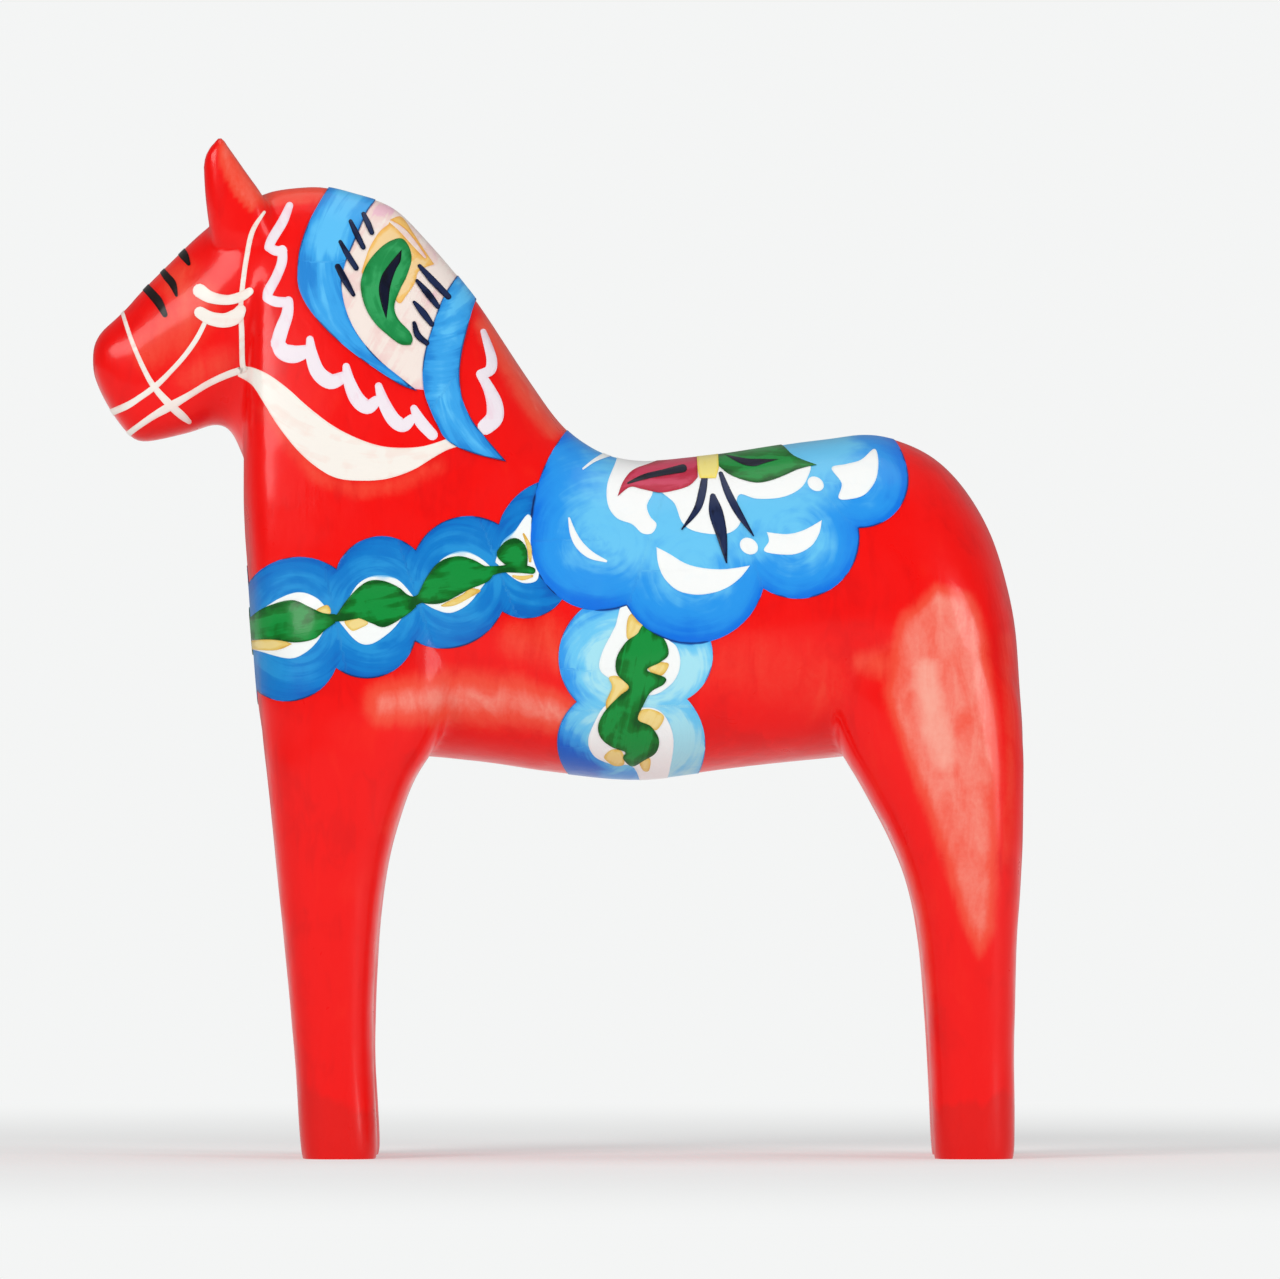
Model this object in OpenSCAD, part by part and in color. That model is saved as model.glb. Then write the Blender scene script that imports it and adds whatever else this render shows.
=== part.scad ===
// Carved and painted wooden horse that faces -X and stands on four flat soles at z = 0.
// One block of pine is sawn and whittled to shape, dipped red, and then painted by brush.
// Every coat and every brushed figure is a film of its own, laid on what is beneath it.
// Outlines are drawn in millimetres on the side view, as [x, z], for a horse of drawn_height.

/* [Size] */
// Height from the soles to the tips of the ears
height = 205; // [100:5:400]
// Width over the flanks
flank_width = 63; // [50:1:76]
// Width of the gap between the left and right feet
foot_gap = 16; // [10:1:20]

/* [Paint] */
// Thickness of each film of paint
film = 0.25; // [0.2:0.05:0.5]

/* [Detail] */
// Corners of each ring of the trunk
trunk_sides = 16; // [16:4:32]
// Corners of each ring of the head, legs and ears
limb_sides = 12; // [12:4:24]
// Steps from one key section to the next
ring_steps = 1; // [1:1:2]
// Steps from one point of a painted curve to the next
curve_steps = 1; // [1:1:3]

/* [Hidden] */
drawn_height = 205;
size = height / drawn_height;
half_width = flank_width / 2;
foot_in = foot_gap / 2;
half_length = 93.6;
reach = 260;               // longer than the horse in every direction
squareness = 2.5;          // of the trunk and head rings, where 2 is an ellipse
leg_squareness = 3;
neck_taper = 1.6;          // how late the width of the flanks gives way to that of the crest
coat_top = film;           // the red coat fills 0 to coat_top over the wood
first_top = 2 * film;      // figures brushed on the red
second_top = 3 * film;     // figures brushed on other figures
third_top = 4 * film;
front_depth = 16;          // how far round the chest its front figures reach

// ---------- Key sections of the carved block ----------

// Trunk and neck: [x, underside z, top z, half-width share low, half-width share high]
trunk_keys = [
    [-62.8, 126, 146, 0.46, 0.36],
    [-62.1, 117, 172, 0.64, 0.38],
    [-61.0, 103, 186, 0.77, 0.39],
    [-59.6, 88, 192.4, 0.86, 0.41],
    [-57.0, 80, 194.3, 0.92, 0.42],
    [-48.0, 78.3, 195.1, 0.98, 0.44],
    [-41.0, 78.6, 193.6, 1.00, 0.46],
    [-34.0, 79.8, 191.2, 1.00, 0.47],
    [-28.5, 80.8, 186.3, 1.00, 0.48],
    [-17.0, 79.8, 172.8, 1.00, 0.52],
    [-6.0, 78.2, 156.4, 1.00, 0.58],
    [0.0, 77.5, 148.0, 1.00, 0.65],
    [5.0, 76.9, 143.6, 1.00, 0.72],
    [11.0, 76.3, 140.6, 1.00, 0.80],
    [19.0, 76.3, 139.6, 0.99, 0.86],
    [34.0, 78.2, 141.3, 0.98, 0.89],
    [54.0, 80.4, 144.2, 0.99, 0.91],
    [62.0, 81, 145.2, 1.00, 0.90],
    [69.0, 80.5, 143.8, 1.00, 0.88],
    [76.0, 80, 140.2, 1.00, 0.84],
    [82.0, 79, 134.0, 0.97, 0.78],
    [87.0, 78, 125.2, 0.90, 0.70],
    [90.2, 77, 115.2, 0.80, 0.60],
    [92.2, 76, 104, 0.66, 0.50],
    [93.3, 75, 88, 0.42, 0.34]
];

// Head: [x, underside z, top z, half-width share low, half-width share high]
head_keys = [
    [-93.4, 158.4, 162.4, 0.10, 0.10],
    [-92.9, 156.6, 164.0, 0.17, 0.16],
    [-91.6, 153.5, 166.1, 0.22, 0.21],
    [-89.0, 149.0, 168.4, 0.26, 0.24],
    [-86.3, 145.7, 171.0, 0.285, 0.26],
    [-83.5, 144.0, 174.2, 0.305, 0.28],
    [-74.0, 146.0, 183.7, 0.37, 0.33],
    [-69.5, 147.6, 187.6, 0.40, 0.36],
    [-66.4, 147.0, 190.2, 0.41, 0.38],
    [-64.4, 144.2, 191.7, 0.42, 0.39],
    [-62.4, 141.0, 192.9, 0.43, 0.40],
    [-54.0, 142.0, 193.0, 0.42, 0.38],
    [-46.0, 150.0, 188.0, 0.36, 0.30]
];

// Legs and ears: [z, front x, back x, inner y, outer y]
front_leg_keys = [
    [0, -50.4, -37.2, foot_in + 0.8, 26.1],
    [1.4, -51.2, -36.2, foot_in, 26.9],
    [22, -52.7, -37.1, foot_in - 0.4, 27.5],
    [42, -54.5, -36.4, foot_in - 1, 28.2],
    [58, -56.1, -34.5, foot_in - 1.8, 28.9],
    [68, -57.1, -32.0, foot_in - 2.6, 29.5],
    [76, -58.1, -29.0, foot_in - 4, 29.9],
    [84, -59.0, -24.0, foot_in - 6, 30.2],
    [96, -59.8, -19.0, foot_in - 8, 30.3],
    [110, -58.8, -21.0, foot_in - 8, 28.6],
    [122, -53, -30.0, foot_in - 8, 22.0]
];
rear_leg_keys = [
    [0, 76.4, 90.8, foot_in + 0.8, 26.1],
    [1.4, 75.7, 91.5, foot_in, 26.9],
    [22, 74.7, 91.6, foot_in - 0.4, 27.6],
    [42, 73.1, 92.0, foot_in - 1, 28.7],
    [54, 70.8, 92.7, foot_in - 1.5, 29.5],
    [64, 67.0, 93.2, foot_in - 2.4, 30.3],
    [74, 61.7, 93.4, foot_in - 3.6, 30.9],
    [84, 56.0, 93.2, foot_in - 6.4, 31.2],
    [96, 52.5, 91.6, foot_in - 8, 30.8],
    [110, 54.5, 86.5, foot_in - 8, 28.6],
    [122, 60.0, 79.0, foot_in - 8, 22.0]
];
ear_keys = [
    [184, -69.4, -56.0, 2.0, 12.0],
    [192, -70.5, -58.8, 3.2, 11.8],
    [198, -71.0, -62.9, 4.4, 11.1],
    [201, -70.8, -65.0, 5.2, 10.7],
    [203.4, -69.8, -66.4, 6.4, 10.1],
    [204.8, -68.3, -67.3, 7.6, 9.2]
];

// ---------- Curves ----------

function mix(a, b, t) = a + (b - a) * t;

// Catmull-Rom curve through rows a, b, c and d, at t of the way from b to c
function flow(a, b, c, d, t) =
    0.5 * (2 * b + (c - a) * t + (2 * a - 5 * b + 4 * c - d) * t * t
        + (3 * b - a - 3 * c + d) * t * t * t);

// An open run of rows, with steps - 1 new rows in each span
function smooth_run(rows, steps) = let (last = len(rows) - 1) [
    for (i = [0:last - 1], k = [0:steps - 1])
        flow(rows[max(i - 1, 0)], rows[i], rows[i + 1], rows[min(i + 2, last)], k / steps),
    rows[last]
];

// A closed loop of points, rounded through each of them
function smooth_loop(points, steps) = let (n = len(points)) [
    for (i = [0:n - 1], k = [0:steps - 1])
        flow(points[(i + n - 1) % n], points[i], points[(i + 1) % n], points[(i + 2) % n], k / steps)
];

// The centre of the circle through three points
function centre3(a, m, b) = let (
    d = 2 * (a.x * (m.y - b.y) + m.x * (b.y - a.y) + b.x * (a.y - m.y)),
    aa = a * a, mm = m * m, bb = b * b
) [
    (aa * (m.y - b.y) + mm * (b.y - a.y) + bb * (a.y - m.y)) / d,
    (aa * (b.x - m.x) + mm * (a.x - b.x) + bb * (m.x - a.x)) / d
];

// Points of the arc from a through m to b, without b
function arc3(a, m, b) = let (
    c = centre3(a, m, b),
    r = norm(a - c),
    start = atan2(a.y - c.y, a.x - c.x),
    ccw = (m.x - a.x) * (b.y - a.y) - (m.y - a.y) * (b.x - a.x) > 0,
    raw = atan2(b.y - c.y, b.x - c.x) - start,
    turn = ccw ? (raw < 0 ? raw + 360 : raw) : (raw > 0 ? raw - 360 : raw),
    steps = 4 * curve_steps
) [for (k = [0:steps - 1]) c + r * [cos(start + turn * k / steps), sin(start + turn * k / steps)]];

// A scalloped edge: [corner, middle, corner, middle, ..., corner]
function scallops(points) = [
    for (i = [0:2:len(points) - 3]) each arc3(points[i], points[i + 1], points[i + 2]),
    points[len(points) - 1]
];

// ---------- The carved block ----------

function power(v, n) = sign(v) * pow(abs(v), 2 / n);

// Brings the flat between the top two corners of a ring out to its full size
function fullness(sides, n) = 1 / power(cos(180 / sides), n);

function upright_ring(row, skin, sides) = let (
    middle = (row[1] + row[2]) / 2,
    rise = (row[2] - row[1]) / 2 + skin,
    full = fullness(sides, squareness)
) [
    for (i = [0:sides - 1]) let (
        a = 360 * (i + 0.5) / sides,
        up = full * power(sin(a), squareness),
        wide = half_width * mix(row[3], row[4], pow((up + 1) / 2, neck_taper)) + skin
    ) [row[0] * (1 + skin / half_length), full * wide * power(cos(a), squareness), middle + rise * up]
];

function level_ring(row, skin, side, lift) = let (
    cx = (row[1] + row[2]) / 2,
    cy = (row[3] + row[4]) / 2,
    full = fullness(limb_sides, leg_squareness),
    rx = full * ((row[2] - row[1]) / 2 + skin),
    ry = full * ((row[4] - row[3]) / 2 + skin)
) [
    for (i = [0:limb_sides - 1]) let (a = 360 * (i + 0.5) / limb_sides)
        [cx + rx * power(cos(a), leg_squareness),
         side * (cy + ry * power(sin(a), leg_squareness)),
         row[0] + lift]
];

module loft(rings)
    for (i = [0:len(rings) - 2])
        hull() polyhedron(
            concat(rings[i], rings[i + 1]),
            [[for (k = [0:2 * len(rings[i]) - 1]) k]]
        );

module barrel(keys, skin, sides)
    loft([for (row = smooth_run(keys, ring_steps)) upright_ring(row, skin, sides)]);

module limb(keys, skin, side) {
    rows = smooth_run(keys, ring_steps);
    last = len(rows) - 1;
    loft([
        for (i = [0:last])
            level_ring(rows[i], skin, side, i == 0 ? -skin : i == last ? skin : 0)
    ]);
}

// The whole horse, with its surface moved outwards by skin
module horse(skin)
    difference() {
        union() {
            barrel(trunk_keys, skin, trunk_sides);
            barrel(head_keys, skin, limb_sides);
            for (side = [-1, 1]) {
                limb(front_leg_keys, skin, side);
                limb(rear_leg_keys, skin, side);
                limb(ear_keys, skin, side);
            }
        }
        translate([0, 0, -reach / 2]) cube(reach, center = true);
    }

// ---------- Laying paint ----------

// A flat figure on the side view, carried through to both flanks
module from_side() rotate([90, 0, 0]) linear_extrude(reach, center = true) children();

// A flat figure on the front view, as [y, z], carried back to the chest
module from_front()
    translate([-half_length, 0, 0]) rotate([90, 0, 90])
        linear_extrude(half_length - 62.8 + front_depth) children();

module layer(bottom, top)
    difference() {
        intersection() {
            horse(top);
            children();
        }
        horse(bottom);
    }

module on_red() scale(size) layer(coat_top, first_top) children();
module on_figures() scale(size) layer(first_top, second_top) children();
module on_petals() scale(size) layer(second_top, third_top) children();

// ---------- Drawing ----------

module blob(points) polygon(smooth_loop(points, curve_steps));

function unit(v) = v / norm(v);

// A brush stroke with pointed ends: each row is [x, z, width]
module stroke(rows) {
    run = smooth_run(rows, curve_steps);
    last = len(run) - 1;
    spots = [for (r = run) [r[0], r[1]]];
    ways = [for (i = [0:last]) unit(spots[min(i + 1, last)] - spots[max(i - 1, 0)])];
    sides = [for (i = [0:last]) [-ways[i].y, ways[i].x] * run[i][2] / 2];
    for (i = [0:last - 1])
        polygon([
            spots[i] + sides[i], spots[i + 1] + sides[i + 1],
            if (i == last - 1) spots[last] + ways[last] * run[last][2] / 2,
            spots[i + 1] - sides[i + 1], spots[i] - sides[i],
            if (i == 0) spots[0] - ways[0] * run[0][2] / 2
        ]);
}

// ---------- Mane ----------

mane_front_outer = [
    [-45, 198], [-46.2, 195], [-48.8, 190.4], [-50.4, 187], [-51.8, 182.5], [-52.2, 178.5],
    [-52.1, 175.2], [-50.5, 171.5], [-48.3, 168.3], [-45.5, 165.2], [-41, 161.5], [-36.5, 158.4],
    [-31.5, 155], [-28.2, 153.8]
];
mane_front_inner = [
    [-28.2, 153.8], [-31, 156.3], [-35.5, 159.3], [-39.5, 163.5], [-42, 168], [-43, 172],
    [-43.3, 175.5], [-42.6, 179], [-41, 183], [-39.8, 186.5], [-38.6, 189.8], [-37, 192], [-35.5, 196]
];
mane_rear_inner = [
    [-19, 179.5], [-20.8, 176.5], [-22.5, 173.5], [-24, 169.5], [-25.3, 166], [-26.6, 161.5],
    [-27, 157.5], [-26.6, 153.5], [-25.5, 150.3], [-24, 147], [-22.6, 144.4], [-20.2, 142.8],
    [-16.5, 141.3], [-13, 140.5], [-10.4, 139.9]
];
mane_rear_outer = [
    [-10.4, 139.9], [-12.5, 142.4], [-14.7, 145], [-17, 148], [-18.9, 152], [-19.5, 157],
    [-19, 162], [-17.8, 166.8], [-17, 170.4], [-15.8, 174], [-14.5, 177]
];

module mane_border_figure() {
    polygon(concat(mane_front_outer, mane_front_inner));
    polygon(concat(mane_rear_inner, mane_rear_outer));
}

module mane_field_figure()
    difference() {
        polygon([
            [-35.5, 198], [-40, 187], [-43.6, 177], [-42.5, 168], [-38, 161], [-28.2, 153.8],
            [-26, 158], [-24.5, 166], [-21, 174], [-17, 180]
        ]);
        mane_border_figure();
    }

module mane_leaf_figure()
    blob([
        [-31.5, 184.9], [-29.9, 183.4], [-29.3, 180.5], [-30.3, 177], [-31.6, 174.3], [-32.8, 171.2],
        [-31.9, 168.4], [-29.6, 166], [-29.4, 162.9], [-31.6, 163.1], [-33.8, 165], [-36.6, 167.6],
        [-38.6, 171], [-39.5, 175.2], [-38.6, 178.8], [-36.8, 181.5], [-34.3, 183.8]
    ]);

module mane_core_figure()
    blob([
        [-31.5, 182.3], [-31.4, 180.4], [-32.5, 178.2], [-33.5, 175], [-33.9, 171.5], [-34.3, 168.7],
        [-35.2, 171], [-35.8, 174], [-35.4, 176.8], [-34, 179.3]
    ]);

module mane_lash_figure() {
    stroke([[-38.9, 189.7, 1.0], [-37.3, 185.8, 1.1]]);
    stroke([[-41.5, 188.2, 1.0], [-39.0, 182.9, 1.2]]);
    stroke([[-43.5, 184.0, 1.0], [-40.4, 178.6, 1.2]]);
    stroke([[-44.1, 179.0, 1.3], [-40.9, 173.3, 1.0]]);
    stroke([[-27.6, 179.2, 1.1], [-22.0, 173.2, 1.3]]);
    stroke([[-28.1, 176.1, 1.0], [-24.0, 171.1, 1.3]]);
    stroke([[-28.6, 171.7, 1.0], [-25.2, 167.4, 1.3]]);
    stroke([[-28.7, 167.4, 1.0], [-27.8, 165.2, 1.4], [-26.2, 163.7, 1.2]]);
}

module mane_heart_figure()
    difference() {
        blob([
            [-34.3, 187.4], [-31.6, 186.4], [-29.6, 184.6], [-27.0, 182.2], [-24.3, 179.9],
            [-27.2, 178.5], [-28.4, 176], [-29.8, 172.8], [-31.8, 171.7], [-34, 174], [-36.8, 177],
            [-39.3, 177.6], [-38.2, 181.8], [-36.4, 185.2]
        ]);
        mane_leaf_figure();
        mane_lash_figure();
    }

module mane_border() color([0.14, 0.50, 0.88]) on_red() from_side() mane_border_figure();
module mane_field() color([0.95, 0.82, 0.80]) on_red() from_side() mane_field_figure();
module mane_heart() color([0.96, 0.80, 0.45]) on_figures() from_side() mane_heart_figure();
module mane_leaf() color([0.15, 0.60, 0.30]) on_figures() from_side() mane_leaf_figure();
module mane_leaf_core() color([0.03, 0.07, 0.20]) on_petals() from_side() mane_core_figure();
module mane_lashes() color([0.06, 0.10, 0.28]) on_figures() from_side() mane_lash_figure();

// ---------- Scrolls and throat ribbon ----------

module neck_scroll_figure() {
    stroke([
        [-54.1, 191.0, 1.4], [-55.8, 187.4, 1.7], [-57.9, 184.0, 1.8], [-58.1, 182.2, 1.4],
        [-55.6, 182.3, 1.8], [-54.9, 180.6, 1.7], [-56.0, 177.2, 1.8], [-58.0, 174.2, 2.0],
        [-58.2, 172.1, 1.8], [-54.6, 172.1, 2.0], [-53.6, 169.8, 2.2], [-55.2, 166.0, 2.6],
        [-56.2, 163.2, 3.2], [-54.0, 161.5, 3.2], [-50.6, 161.9, 2.6]
    ]);
    stroke([
        [-49.2, 164.1, 1.3], [-48.8, 160.6, 2.4], [-47.4, 156.9, 2.8], [-44.9, 155.7, 2.8],
        [-43.0, 156.8, 2.0]
    ]);
    stroke([
        [-42.2, 158.8, 1.0], [-41.4, 155.8, 2.2], [-40.0, 152.0, 2.6], [-38.0, 150.6, 2.6],
        [-36.3, 152.0, 2.0]
    ]);
    stroke([
        [-35.7, 155.2, 1.2], [-34.5, 151.4, 2.2], [-32.8, 147.9, 2.4], [-30.8, 146.8, 2.4],
        [-29.2, 148.4, 1.8]
    ]);
    stroke([[-28.7, 150.8, 1.2], [-27.4, 148.0, 2.0], [-25.2, 145.2, 2.0]]);
}

module withers_scroll_figure() {
    stroke([
        [-14.9, 166.3, 1.0], [-14.0, 163.4, 1.4], [-13.0, 160.2, 1.9], [-13.4, 157.9, 2.0],
        [-15.8, 157.2, 1.3]
    ]);
    stroke([
        [-15.8, 157.2, 1.3], [-13.6, 154.2, 2.2], [-12.4, 151.4, 3.0], [-12.3, 148.4, 3.0],
        [-14.7, 146.1, 2.2]
    ]);
}

ribbon_top = [
    [-63.8, 158.9], [-61.6, 158.9], [-58, 157.3], [-54, 154.2], [-50, 150.4], [-45, 146.5], [-40, 144],
    [-35, 142.6], [-30, 142.3], [-26, 143], [-22, 144.3]
];
ribbon_bottom = [
    [-20.2, 142.9], [-22.2, 142.2], [-25, 140.5], [-29, 138], [-34, 136.5], [-39, 136.0],
    [-44, 136.3], [-48, 138.6], [-52, 142], [-56, 147], [-59, 151.8], [-61.3, 155], [-64.4, 157]
];

module ribbon_outline() polygon(concat(ribbon_top, ribbon_bottom));

module neck_scroll() color([0.93, 0.83, 0.90]) on_red() from_side() neck_scroll_figure();
module withers_scroll() color([0.93, 0.83, 0.90]) on_red() from_side() withers_scroll_figure();
module throat_ribbon()
    color([0.95, 0.90, 0.84]) on_red() from_side()
        difference() {
            ribbon_outline();
            mane_border_figure();
        }

// ---------- Bridle and brow ----------

module bridle_figure() {
    stroke([
        [-59.0, 189.9, 0.8], [-61.3, 186.0, 1.0], [-62.5, 180.5, 1.0], [-63.3, 174.5, 1.0],
        [-63.6, 170.5, 1.0], [-63.4, 166.0, 1.1], [-63.3, 160.5, 1.1], [-63.1, 158.4, 1.2]
    ]);
    stroke([
        [-88.2, 171.5, 0.8], [-87.3, 169.0, 0.8], [-85.4, 163.0, 0.9], [-83.0, 158.0, 1.0],
        [-81.0, 154.6, 1.2], [-78.0, 151.4, 1.6], [-75.6, 149.4, 1.6], [-74.1, 148.0, 1.2]
    ]);
    stroke([
        [-70.6, 168.0, 1.0], [-72.5, 164.5, 1.0], [-75.0, 161.0, 1.0], [-78.0, 157.7, 1.0],
        [-80.8, 155.0, 1.1], [-84.0, 152.9, 1.2], [-87.0, 150.9, 1.3], [-91.0, 149.4, 1.3]
    ]);
    stroke([
        [-62.8, 158.2, 1.6], [-66.0, 157.4, 1.4], [-70.0, 155.6, 1.3], [-74.0, 153.0, 1.3],
        [-77.8, 151.1, 1.6], [-81.0, 149.0, 1.4], [-84.0, 146.9, 1.2], [-87.0, 144.9, 1.2]
    ]);
}

module bridle_bow_figure() {
    stroke([
        [-71.9, 174.2, 2.8], [-69.6, 173.0, 2.2], [-66.5, 172.4, 1.6], [-63.7, 173.0, 1.6],
        [-61.8, 173.8, 1.2]
    ]);
    stroke([
        [-72.2, 169.6, 1.8], [-69.0, 168.3, 2.0], [-66.5, 168.3, 2.0], [-64.2, 169.6, 1.4],
        [-63.2, 170.9, 1.0]
    ]);
}

module bridle()
    color([0.97, 0.92, 0.85]) on_red() from_side()
        difference() {
            bridle_figure();
            ribbon_outline();
            bridle_bow_figure();
        }

module bridle_bow() color([0.97, 0.92, 0.85]) on_red() from_side() bridle_bow_figure();

module brow_bars()
    color([0.03, 0.03, 0.03]) on_red() from_side() {
        stroke([[-77.0, 183.6, 1.5], [-75.3, 181.6, 1.8], [-74.3, 180.1, 1.2]]);
        stroke([[-80.4, 179.2, 0.9], [-78.7, 177.2, 1.4], [-77.4, 175.6, 1.3], [-76.8, 173.7, 0.7]]);
        stroke([[-83.4, 175.3, 1.6], [-81.6, 173.6, 1.7], [-80.2, 171.9, 1.6], [-79.0, 169.7, 1.1]]);
    }

// ---------- Breast band ----------

breast_upper = [
    [-64, 111.5], [-56.2, 119.6], [-44.2, 118.3], [-35.6, 124.6], [-28.3, 122], [-18.6, 128.6],
    [-11.6, 127.3], [-7.6, 132.9], [0, 136]
];
breast_lower = [
    [2, 115], [-5, 108.4], [-11.3, 109.6], [-20, 102.8], [-28.4, 103.7], [-37.5, 96.5],
    [-44.2, 98.4], [-53.5, 91.9], [-63.5, 97.5]
];
// Each eye: left tip, middle of its top, right tip, middle of its underside
breast_eye_list = [
    [[-66, 106], [-51.5, 113.6], [-45.2, 108.5], [-54, 100.4]],
    [[-44, 108.2], [-35.5, 117], [-28.4, 112], [-37.5, 103]],
    [[-27.8, 112], [-19.5, 121.8], [-12.8, 117.6], [-21.5, 109.6]],
    [[-12, 119.6], [-7.5, 126], [-3.8, 119], [-7, 115]]
];

// The scallop that joins the two halves of the band in front, as [y, z]
module breast_front_outline()
    polygon(concat(scallops([[13, 113], [0, 119], [-13, 113]]), scallops([[-13, 96], [0, 91], [13, 96]])));

module breast_leaf_figure() {
    blob([
        [-64, 105], [-60.8, 109.2], [-57.4, 111], [-53, 111.9], [-49.5, 110.4], [-45.6, 109],
        [-46.4, 106.2], [-48.5, 104.3], [-52.5, 103.5], [-57.5, 104.1], [-61, 103.6]
    ]);
    blob([
        [-44.4, 108.4], [-41.2, 113.3], [-38, 115.7], [-35, 115.9], [-32, 114.5], [-28.9, 112.4],
        [-30.4, 109.2], [-34.4, 106.6], [-37.2, 107.5], [-40, 108.4]
    ]);
    blob([
        [-28, 112], [-26.2, 116.4], [-23.6, 119.6], [-20, 120.8], [-16.8, 120.1], [-12.8, 118.3],
        [-14, 115.2], [-18.4, 113.4], [-22.4, 111.5], [-25.5, 111.2]
    ]);
    blob([
        [-12.1, 121], [-10.5, 123.6], [-8.2, 124.4], [-6.3, 122.8], [-5.9, 119.8], [-6.6, 117.6],
        [-9.4, 118.4]
    ]);
    stroke([[-47.5, 107.6, 2.4], [-43.0, 108.8, 2.0], [-41.0, 109.6, 2.4]]);
    stroke([[-30.5, 111.0, 2.2], [-27.4, 112.4, 2.4], [-25.4, 113.6, 2.4]]);
    stroke([[-15.0, 117.4, 2.4], [-10.5, 118.2, 1.8], [-7.0, 118.6, 2.2], [-5.2, 118.2, 2.0]]);
}

module breast_dab_figure() {
    blob([
        [-60.5, 103.4], [-57, 104.3], [-54, 103.8], [-53.2, 103.1], [-54.8, 102.3], [-57, 101.9],
        [-60.5, 102.3]
    ]);
    blob([[-48.2, 110], [-46, 111], [-45.5, 109.2], [-47.2, 109.2]]);
    blob([[-42.5, 107.9], [-39.6, 108.6], [-37.8, 107.4], [-39.3, 106.4], [-41.1, 105.9]]);
    blob([[-22.9, 110.8], [-19, 112.9], [-17.4, 114.2], [-15.3, 113.9], [-17, 112.4], [-21, 110.7]]);
    stroke([[-6.6, 125.0, 0.5], [-5.6, 122.6, 0.8], [-5.3, 120.2, 0.6]]);
    stroke([[-8.6, 116.7, 0.5], [-7.0, 116.5, 0.8], [-5.2, 116.8, 0.6]]);
}

module eye(tips) polygon(concat(arc3(tips[0], tips[1], tips[2]), arc3(tips[2], tips[3], tips[0])));

// The leaf on the front of the chest, as [y, z]
module breast_front_leaf()
    blob([
        [-8.5, 105.5], [-4, 109.6], [0, 111.2], [4, 109.6], [8.5, 105.5], [4, 102], [0, 100.6], [-4, 102]
    ]);

module breast_band()
    color([0.06, 0.40, 0.78]) on_red() {
        from_side()
            difference() {
                polygon(concat(
                    [[-72, 111.5]], scallops(breast_upper), scallops(breast_lower), [[-72, 97.5]]
                ));
                saddle_outline();
            }
        from_front() breast_front_outline();
    }

module breast_eyes()
    color([0.94, 0.97, 0.98]) on_figures()
        difference() {
            from_side()
                difference() {
                    for (tips = breast_eye_list) eye(tips);
                    breast_leaf_figure();
                    breast_dab_figure();
                    saddle_outline();
                }
            from_front() breast_front_leaf();
        }

module breast_leaves()
    color([0.03, 0.50, 0.17]) on_figures() {
        from_side() breast_leaf_figure();
        from_front() breast_front_leaf();
    }

module breast_dabs()
    color([0.90, 0.80, 0.42]) on_figures() from_side()
        difference() {
            breast_dab_figure();
            breast_leaf_figure();
        }

// ---------- Girth ----------

girth_left = [[9, 113], [0.4, 101], [4, 91.6], [0.1, 83.5], [3, 76]];
girth_right = [[27.8, 76], [29.3, 84.5], [26, 92], [30.8, 98.5], [29.5, 106]];

module girth_outline()
    difference() {
        polygon(concat(
            [[12, 116]], scallops(girth_left), [[3, 70], [27.8, 70]], scallops(girth_right), [[29, 110]]
        ));
        saddle_outline();
    }

module girth_vine_figure()
    blob([
        [17.7, 106.4], [21.4, 104.2], [22.3, 101], [20.4, 99.6], [18, 98], [21.9, 96.3], [20.6, 95.1],
        [18.6, 93.4], [17.4, 91], [16, 88.1], [18.6, 87], [20.4, 84], [19.9, 81.7], [17.4, 79.8],
        [15, 78.7], [13.2, 80.2], [11.3, 82.3], [9.2, 83.8], [8.2, 86.6], [9.4, 89.6], [12.5, 92.6],
        [14.5, 94.6], [11.8, 97.4], [11.9, 100.6], [13.4, 103.4]
    ]);

module girth_dab_figure() {
    blob([[14.4, 108], [15.7, 108.7], [17.2, 106.6], [15.6, 104.6], [14.1, 104.6]]);
    blob([[18.2, 98.2], [19.4, 99.4], [22.3, 99.2], [21.2, 97.1], [20, 96.9]]);
    blob([[10.4, 96.5], [12.3, 96.6], [14.3, 94.8], [12, 92.4], [10, 90], [9.8, 91.6], [11, 94.5]]);
    blob([[16, 88.2], [16.8, 89.9], [19, 90.1], [21.4, 88.9], [20, 86.2], [18.2, 87.2]]);
    blob([[9.5, 80.8], [11, 81.8], [13, 81.4], [13.3, 79.1], [11.6, 78.9], [10.2, 79.7]]);
    blob([[16.7, 79.8], [18.6, 80.2], [18.3, 78], [17.4, 78]]);
}

module girth_eye_figure() {
    blob([
        [13.6, 110.2], [11.6, 106.8], [9.2, 102], [8.4, 98.6], [10, 96.6], [14.6, 94.6], [18.5, 92.9],
        [21.5, 94], [23.8, 96.3], [24.6, 99.6], [23.9, 102.7], [21.6, 104.6], [18, 107.6]
    ]);
    blob([
        [16.5, 90.8], [19.6, 90.3], [22, 88.3], [23.2, 84.4], [23, 80], [21.4, 76], [18, 75.5],
        [16.4, 78.3], [11, 79.2], [7.4, 80.9], [6.2, 83.8], [7.6, 87.8], [10.2, 91.4]
    ]);
}

module girth_band() color([0.25, 0.62, 0.90]) on_red() from_side() girth_outline();

module girth_eyes()
    color([0.94, 0.97, 0.98]) on_figures() from_side()
        difference() {
            girth_eye_figure();
            girth_vine_figure();
            girth_dab_figure();
            saddle_outline();
        }

module girth_vine()
    color([0.03, 0.47, 0.17]) on_figures() from_side()
        difference() {
            girth_vine_figure();
            saddle_outline();
        }

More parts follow.
